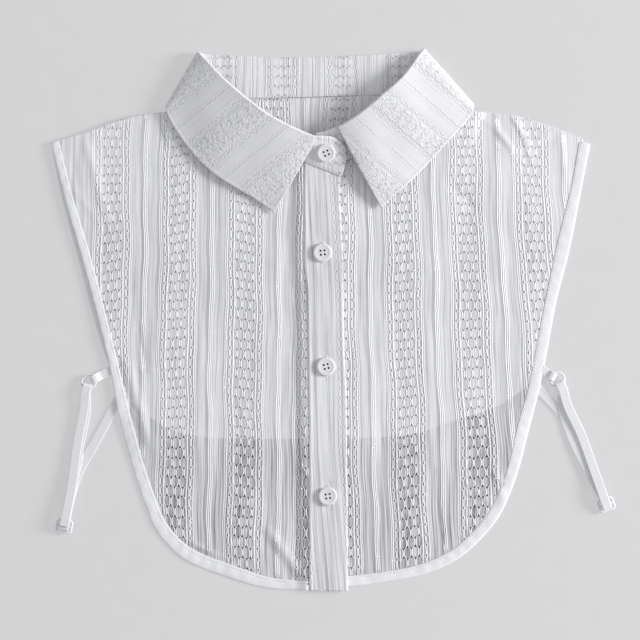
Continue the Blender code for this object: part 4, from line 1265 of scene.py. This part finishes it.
def build_leaf():
    """The leaf: its section starts on the fold's crest, turns a quarter round it and runs out to the edge
    with a low crown, and comes back beneath."""
    fold, edge, up = (line[:, None] for line in (fold_line[leaf], edge_part, out[leaf]))
    back = directions(fold - seam_line[leaf][:, None])
    turn = np.linspace(0, math.pi / 2, 7)[None, :-1, None]
    share = np.concatenate([np.linspace(0, 0.86, 26), np.linspace(0.88, 1, 11)])[None, :, None]
    at = lengths(fold_line[leaf])[:, None, None]
    wavy = 0.3 * np.sin(at / 11.0 + 2.5 * share) + 0.2 * np.sin(at / 5.7 - 4.0 * share)
    crown = (0.7 * np.sin(math.pi * share) ** 1.5 + wavy * np.sin(math.pi * share)) * rise(up[..., 2:])
    hem = 0.07 * np.exp(-(((share - 0.98) / 0.012) ** 2)) - 0.06 * np.exp(-(((share - 0.94) / 0.012) ** 2))
    sections = []
    for side in (-1, 1):
        radius = FOLD_GAP + side * THICK
        roll = fold + radius * (CREST * np.cos(turn) * back + np.sin(turn) * up)
        thick = np.where(share < 0.995, THICK, 0.75 * THICK)
        lift = radius * (1 - share) + side * thick * share + crown + (hem if side > 0 else 0)
        flat = fold * (1 - share) + edge * share + up * lift
        section = np.concatenate([roll, flat], axis=1)
        sections.append(section if side < 0 else section[:, ::-1])
    grid = np.concatenate(sections, axis=1)
    x, y = grid[..., 0], grid[..., 1]
    half = (np.arange(len(grid)) < len(grid) // 2)[:, None, None]
    uv = np.where(half, leaf_stripe("left", x, y), leaf_stripe("right", x, y))
    return placed(strip("collar_leaf_cloth", grid, uv), CLOTH_LEAF, "cloth", "collar_leaf"), grid


def build_stand():
    """The stand: its section starts on the fold's crest, turns a quarter round it to the stand's outer
    face, runs down to the seam and comes back up. Past the leaf's ends its upper edge is a rounded bead
    of its own, and its first end is drawn out in a round tab."""
    station = np.arange(len(fold_line))[:, None, None]
    bare = np.maximum(rise((leaf.start - station) / 5.0), rise((station - leaf.stop + 1) / 5.0))
    fold, seam, up = fold_line[:, None], seam_line[:, None], out[:, None]
    back = directions(fold - seam)
    turn = np.linspace(0, math.pi / 2, 8)[None, :-1, None]
    share = np.concatenate([[0.0, 0.05, 0.1, 0.15], np.linspace(0.2, 0.96, 12), [0.985, 1.0]])[None, :, None]
    sections = []
    for side in (-1, 1):
        radius, bead = FOLD_GAP - side * THICK, THICK + BEAD
        joined_roll = fold + radius * (CREST * np.cos(turn) * back - np.sin(turn) * up)
        free_roll = fold + bead * (np.cos(turn) * back + side * np.sin(turn) * up) - FOLD_GAP * up
        half = THICK + BEAD * bare * (1 - rise((share - 0.05) / 0.08))
        half = half * (0.4 + 0.6 * rise((1 - share) / 0.03))
        flat = fold * (1 - share) + seam * share + up * (side * half - FOLD_GAP * (1 - share))
        section = np.concatenate([joined_roll * (1 - bare) + free_roll * bare, flat], axis=1)
        sections.append(section if side < 0 else section[:, ::-1])
    grid = np.concatenate(sections, axis=1)
    down = np.concatenate([np.zeros(turn.size), share.ravel()])
    down = np.concatenate([down, down[::-1]])
    grid[..., 0] += TAB_ROUND * rise(1 - station[..., 0] / TAB_STATIONS) * np.sin(math.pi * down)
    x, y = grid[..., 0], grid[..., 1]
    across = np.interp(x, STAND_BANDS, np.arange(len(STAND_BANDS)) - 2.0)
    uv = np.stack([across, y / ROW], axis=-1)
    return placed(strip("collar_stand_cloth", grid, uv), CLOTH_STAND, "cloth", "collar_stand"), grid


def along_stand(share, lift, stations):
    """A line along the stand's outer face, a share of the way from its fold to its seam."""
    top, foot, up = fold_line[stations], seam_line[stations], out[stations]
    return top * (1 - share) + foot * share + up * (lift - FOLD_GAP * (1 - share))


collar_leaf, leaf_grid = build_leaf()
collar_stand, stand_grid = build_stand()
tab_stitches, end_stitches = (
    stitches(along_stand(0.9, THICK, stations), 2.0, 1.2, 0.45, 0.3)
    for stations in (slice(2, leaf.start + 4), slice(leaf.stop - 4, None))
)

# ---------------------------------------------------------------- straps, rings and sliders

# Round a tape: how far across and up, as shares of its width and of its thickness.
TAPE_SECTION = table(
    "across up",
    (-0.5, -0.25), (-0.485, -0.45), (-0.45, -0.5), (-0.4, -0.5), (0.4, -0.5), (0.45, -0.5),
    (0.485, -0.45), (0.5, -0.25), (0.5, 0.25), (0.485, 0.45), (0.45, 0.5), (0.4, 0.5), (-0.4, 0.5),
    (-0.45, 0.5), (-0.485, 0.45), (-0.5, 0.25),
)


def unit(heading):
    """The level unit vector at a heading in degrees from +x."""
    return np.array([math.cos(math.radians(heading)), math.sin(math.radians(heading)), 0.0])


def turn_points(centre, heading):
    """A tape's half turn about a level bar: it swings out along the heading and comes back above."""
    angle = np.linspace(-math.pi / 2, math.pi / 2, 17)[:, None]
    return centre + TAPE_TURN * (np.cos(angle) * unit(heading) + np.sin(angle) * np.array([0, 0, 1.0]))


def level_across(route, headings):
    """The level unit vector across a tape at every point of its route: square to its plan, or to the heading
    where it turns over."""
    along = np.gradient(route[:, :2], axis=0)
    turning = ~np.isnan(headings)
    known = np.radians(np.where(turning, headings, 0))
    along = np.where(turning[:, None], np.stack([np.cos(known), np.sin(known)], axis=1), along)
    across = level_left(along)
    flips = np.where((across[1:] * across[:-1]).sum(axis=1) < 0, -1.0, 1.0)
    return across * np.concatenate([[1.0], np.cumprod(flips)])[:, None]


def tape(route, across, width):
    """A woven tape along a route: a flat section with rounded edges, square to it. Returns its grid and
    map."""
    up = directions(np.cross(np.gradient(route, axis=0), across))
    wide, high = TAPE_SECTION["across"] * width, TAPE_SECTION["up"] * TAPE
    grid = route[:, None] + across[:, None] * wide[None, :, None] + up[:, None] * high[None, :, None]
    at = lengths(route)[:, None]
    return grid, np.stack(np.broadcast_arrays(TAPE_SECTION["across"][None] + 0.5, at), axis=-1)


def wire_centre(place, width, heading):
    """Where the middle of a tape's turn round its side's ring lies: the wire's place at the tape's edges."""
    reach = math.sqrt(RING_RADIUS**2 - (width / 2) ** 2) - WIRE_CLEAR
    return np.array([*place["ring"], FITTING_HIGH]) + reach * unit(heading)


def strap_tape(place):
    """A strap: out on the table, round the slider's bar, up and round the ring, and down to the slider."""
    slide, up_to = place["heading_slider"], place["heading_ring"]
    first = turn_points(np.array([*place["slider"], FITTING_HIGH]) + PAST_BAR * unit(slide), slide)
    second = turn_points(wire_centre(place, TAPE_WIDE, up_to), up_to + 180)
    run, near_ring = STRAIGHT * unit(slide), STRAIGHT * unit(up_to)
    lead = np.insert(columns(place["out"]), 2, TAPE_LOW, axis=1)
    rising, falling = (columns(place[name], "x", "y", "z") for name in ("up", "down"))
    end = first[-1] - unit(slide) * PAST_BAR + np.array([0, 0, TAPE + 0.1 + TAPE_GAP])
    pieces = [
        (smooth(np.concatenate([lead, [first[0] - run]]), 10), None),
        (first, slide),
        (smooth(np.concatenate([[first[-1] - run], rising, [second[0] + near_ring]]), 10), None),
        (second, up_to),
        (smooth(np.concatenate([[second[-1] + near_ring], falling, [end - run, end]]), 10), None),
    ]
    headings = np.concatenate([np.full(len(line), np.nan if way is None else way) for line, way in pieces])
    route = np.concatenate([line for line, _ in pieces])
    return tape(route, level_across(route, headings), TAPE_WIDE)


def tab_tape(place):
    """A tab: from the binding to the ring, round it and back on top, where its two layers are pinched
    together."""
    start = np.array(place["tab_from"])
    along = np.array(place["ring"]) - start
    heading = math.degrees(math.atan2(along[1], along[0]))
    turn = turn_points(wire_centre(place, TAB_WIDE, heading + 180), heading)
    middle = FITTING_HIGH - place["tab_drop"]
    low, high = (np.array([*start, middle + side * TAB_PINCH]) for side in (-1, 1))
    run = TAB_RUN * unit(heading)
    under, upper = between(low[None], turn[:1] - run, 12)[0], between(turn[-1:] - run, high[None], 12)[0]
    settled = rise(np.linspace(0, 1, len(upper)) / TAB_SETTLED)
    upper[:, 2] = upper[0, 2] * (1 - settled) + high[2] * settled
    route = np.concatenate([under, turn, upper])
    return tape(route, np.broadcast_to(unit(heading + 90), route.shape), TAB_WIDE)


def ring_wire(place):
    """A round wire bent in a level circle."""
    path = np.insert(circle(64) * RING_RADIUS, 2, 0, axis=1) + np.array([*place["ring"], FITTING_HIGH])
    return tube(path, 2 * RING_WIRE, 2 * RING_WIRE, 12, closed=True)


def slider_frame(place):
    """A rounded frame, its path a rectangle with round corners, and a bar across its middle."""
    radius = SLIDER_CORNER - SLIDER_BAR / 2
    turn = np.linspace(0, math.pi / 2, 7)
    corners = []
    for quarter, (sx, sy) in enumerate(((1, 1), (-1, 1), (-1, -1), (1, -1))):
        angle = turn + quarter * math.pi / 2
        middle = np.array([sx * SLIDER_LONG, sy * SLIDER_WIDE]) / 2 - np.array([sx, sy]) * SLIDER_CORNER
        corners.append(middle + radius * np.stack([np.cos(angle), np.sin(angle)], axis=1))
    frame_path = np.concatenate(corners)
    bar = np.stack([np.zeros(9), np.linspace(-1, 1, 9) * (SLIDER_WIDE - SLIDER_BAR) / 2], axis=1)
    heading = unit(place["heading_slider"])[:2]
    turned = np.array([heading, [-heading[1], heading[0]]])
    parts = []
    for path, closed in ((frame_path, True), (bar, False)):
        level = np.full((len(path), 1), FITTING_HIGH)
        path = np.concatenate([path @ turned + np.array(place["slider"]), level], axis=1)
        parts.append(tube(path, SLIDER_BAR, SLIDER_THICK, 12, closed))
    return parts


fittings = []
for side, place in SIDES.items():
    for name, (grid, uv) in (("strap", strap_tape(place)), ("tab", tab_tape(place))):
        piece = strip(f"{name}_tape_{side}", grid, uv)
        fittings.append(placed(piece, TAPE_WHITE, "tape", f"{name}_{side}"))
    for name, kind, parts in (("ring", "wire", [ring_wire(place)]), ("slider", "frame", slider_frame(place))):
        piece = joined(f"{name}_{kind}_{side}", parts)
        fittings.append(placed(piece, FITTING_WHITE, "fitting", f"{name}_{side}"))

# ---------------------------------------------------------------- buttons


def quarter_outline():
    """The outline of a quarter of a button's face, out along x, round the arc and back along y."""
    radius = BUTTON_SECTION["radius"][0]
    side, turn = np.linspace(0, radius, 6), np.linspace(0, math.pi / 2, 13)
    arc = radius * np.stack([np.cos(turn), np.sin(turn)], axis=1)
    out, back = np.stack([side, 0 * side], axis=1), np.stack([0 * side, side], axis=1)
    return np.concatenate([out[:-1], arc, back[-2:0:-1]])


def button_parts():
    """A button with four holes, about its middle: a dished face whose quarters each run from a hole to their
    outline, and a rim turned round the axis and closed beneath. The map gives the wells of the holes their
    painted shade."""
    outline = quarter_outline()
    hole = np.array([BUTTON_HOLE_AT, BUTTON_HOLE_AT])
    toward = directions(outline - hole)
    well = [(hole + (BUTTON_HOLE + wider) * toward, z) for wider, z in ((0, 0.3), (0, 1.35), (0.1, 1.56))]
    inner = hole + (BUTTON_HOLE + 0.2) * toward
    face = [(inner + (outline - inner) * share, BUTTON_FACE) for share in (0.0, 0.5, 1.0)]
    rings = np.stack([np.insert(plan, 2, z, axis=1) for plan, z in well + face])
    # Painted shade: full down the holes' walls, less at their rims.
    hole_shade = np.repeat([1.0, 1.0, 0.6, 0.0, 0.0, 0.0], len(outline))
    parts = []
    for quarter in range(4):
        c, s = math.cos(quarter * math.pi / 2), math.sin(quarter * math.pi / 2)
        turned = rings @ np.array([[c, s, 0], [-s, c, 0], [0, 0, 1]])
        parts.append((turned.reshape(-1, 3), ring_faces(len(rings), len(outline), (True, False)), hole_shade))
    section = columns(BUTTON_SECTION, "radius", "z")
    rim = np.stack([np.insert(radius * circle(48), 2, z, axis=1) for radius, z in section])
    parts.append((rim.reshape(-1, 3), ring_faces(len(rim), 48, (False, True)), np.zeros(rim.size // 3)))
    return parts


def welded(parts):
    """The parts as one set of points and faces, with points that meet made one."""
    points = np.concatenate([own for own, _, _ in parts])
    starts = np.cumsum([0] + [len(own) for own, _, _ in parts])
    faces = np.concatenate([own + start for (_, own, _), start in zip(parts, starts)])
    _, first, index = np.unique(np.round(points, 4), axis=0, return_index=True, return_inverse=True)
    return points[first], index.reshape(-1)[faces], np.concatenate([hole_shade for _, _, hole_shade in parts])[first]


SEAT_STATIONS, SEAT_POINTS = 40, 60  # the neck tab's stations, and how many of its points seat a button


def seat(x, y):
    """The point of the stand's middle over (x, y) and the unit vector square to it, from the points near
    it."""
    fold, seam, up = (line[:SEAT_STATIONS] for line in (fold_line, seam_line, out))
    middle = between(fold - FOLD_GAP * up, seam, 9).reshape(-1, 3)
    near = middle[np.argsort(np.hypot(middle[:, 0] - x, middle[:, 1] - y))[:SEAT_POINTS]]
    slope_x, slope_y, height = np.linalg.lstsq(
        np.column_stack([near[:, 0] - x, near[:, 1] - y, np.ones(len(near))]), near[:, 2], rcond=None
    )[0]
    return np.array([x, y, height]), directions(np.array([-slope_x, -slope_y, 1.0]))


def build_button(number, x, y):
    """A button turned about its middle: the first lies square to the neck tab and the others on the
    placket."""
    if number == 1:
        point, square = seat(x, y)
    else:
        point, square = np.array([x, y, placket_under(x, y) + CLOTH / 2]), np.array([0, 0, 1.0])
    points, faces, hole_shade = welded(button_parts())
    first = directions(np.cross(unit(BUTTON_TURNED[number - 1] + 90), square))
    axes = np.stack([first, np.cross(square, first), square])
    points = points @ axes + point + square * (CLOTH / 2 + BUTTON_CLEAR)
    uv = np.column_stack([hole_shade, 0 * hole_shade])
    piece = mesh_piece(f"button_disc_{number}", points, faces[:, ::-1], uv)
    return placed(piece, BUTTON_WHITE, "button", f"button_{number}")


buttons = [build_button(number, x, y) for number, (x, y) in enumerate(columns(BUTTONS), 1)]
stitching = {
    name: placed(joined(f"{name}_stitches", parts), STITCH, "cloth")
    for name, parts in (
        ("left", [left_stitches]),
        ("right", [right_stitches]),
        ("back", [back_stitches]),
        ("stand", [tab_stitches, end_stitches]),
    )
}

# ---------------------------------------------------------------- sheets


def surface(grid):
    """The area of a grid's cells, in square millimetres."""
    first, second = grid[1:, 1:] - grid[:-1, :-1], grid[1:, :-1] - grid[:-1, 1:]
    return float(np.linalg.norm(np.cross(first, second), axis=-1).sum() / 2)


def declare(grid, closed=True):
    """Works out a sheet's area and the flat size of its cut from its grid, and keeps neither: a closed
    section's own width is half of its way round, and an open one's is its spread from side to side."""
    steps = np.linalg.norm(np.diff(grid, axis=0), axis=-1).sum(axis=0)
    across = np.linalg.norm(np.diff(grid, axis=1), axis=-1).sum(axis=1)
    area = surface(grid) / (2 if closed else 1)
    if closed:
        flat = across.max() / 2, steps.max()
    else:
        flat = np.ptp(grid[..., 0]), np.ptp(grid[..., 1])
    flat = [float(side) * MM for side in flat]


for piece, grid, side, rests_on, more in (
    (back_panel, back_grid, "back", ["table"], fittings),
    (front_left, left_grid, "left", [back_panel], []),
    (front_right, right_grid, "right", [back_panel], []),
):
    declare(grid, closed=False)
declare(placket_grid)
declare(stand_grid)
declare(leaf_grid)

# ---------------------------------------------------------------- camera, light and table

FRAME_WIDE = 448.0  # the width of table that the camera takes in
CAMERA_HIGH = 3.0  # in metres
SENSOR = 36.0
camera = bpy.data.objects.new("camera", bpy.data.cameras.new("camera"))
camera.location = (0, 0, CAMERA_HIGH)
camera.data.sensor_width = SENSOR
camera.data.lens = SENSOR * CAMERA_HIGH / (FRAME_WIDE * MM)
camera.data.clip_end = 20
bpy.context.scene.collection.objects.link(camera)
bpy.context.scene.camera = camera


def lamp(name, around, height, away, size, power):
    """A round soft lamp turned to the middle of the table, at an angle round it from +x and an angle over
    it."""
    around, height = math.radians(around), math.radians(height)
    data = bpy.data.lights.new(name, "AREA")
    data.shape = "DISK"
    data.size, data.energy = size, power
    made = bpy.data.objects.new(name, data)
    flat = away * math.cos(height)
    made.location = (flat * math.cos(around), flat * math.sin(around), away * math.sin(height))
    made.rotation_euler = (math.pi / 2 - height, 0, around + math.pi / 2)
    bpy.context.scene.collection.objects.link(made)


lamp("key", around=8, height=20, away=2.5, size=0.8, power=70)
world = bpy.data.worlds.new("room")
world.use_nodes = True
for socket, value in (("Color", (0.97, 0.98, 1.0, 1)), ("Strength", 0.515)):
    world.node_tree.nodes["Background"].inputs[socket].default_value = value
bpy.context.scene.world = world
bpy.context.scene.view_settings.view_transform = "Standard"

TABLE_HALF = 1500.0
corner = np.array([[-1, -1, 0], [1, -1, 0], [1, 1, 0], [-1, 1, 0]]) * TABLE_HALF
floor = mesh_piece("table", corner, np.array([[0, 1, 2, 3]]))
floor_finish = Finish("pale table", Roughness=0.9, Emission_Strength=0.42)
grain = floor_finish.noise(floor_finish.place(), 60.0)
floor_finish.set(
    Base_Color=floor_finish.blend(grain, (0.27, 0.27, 0.275), (0.285, 0.285, 0.29)),
    Emission_Color=floor_finish.blend(grain, (0.98, 0.98, 0.99), (1, 1, 1)),
)
floor.data.materials.append(floor_finish.material)
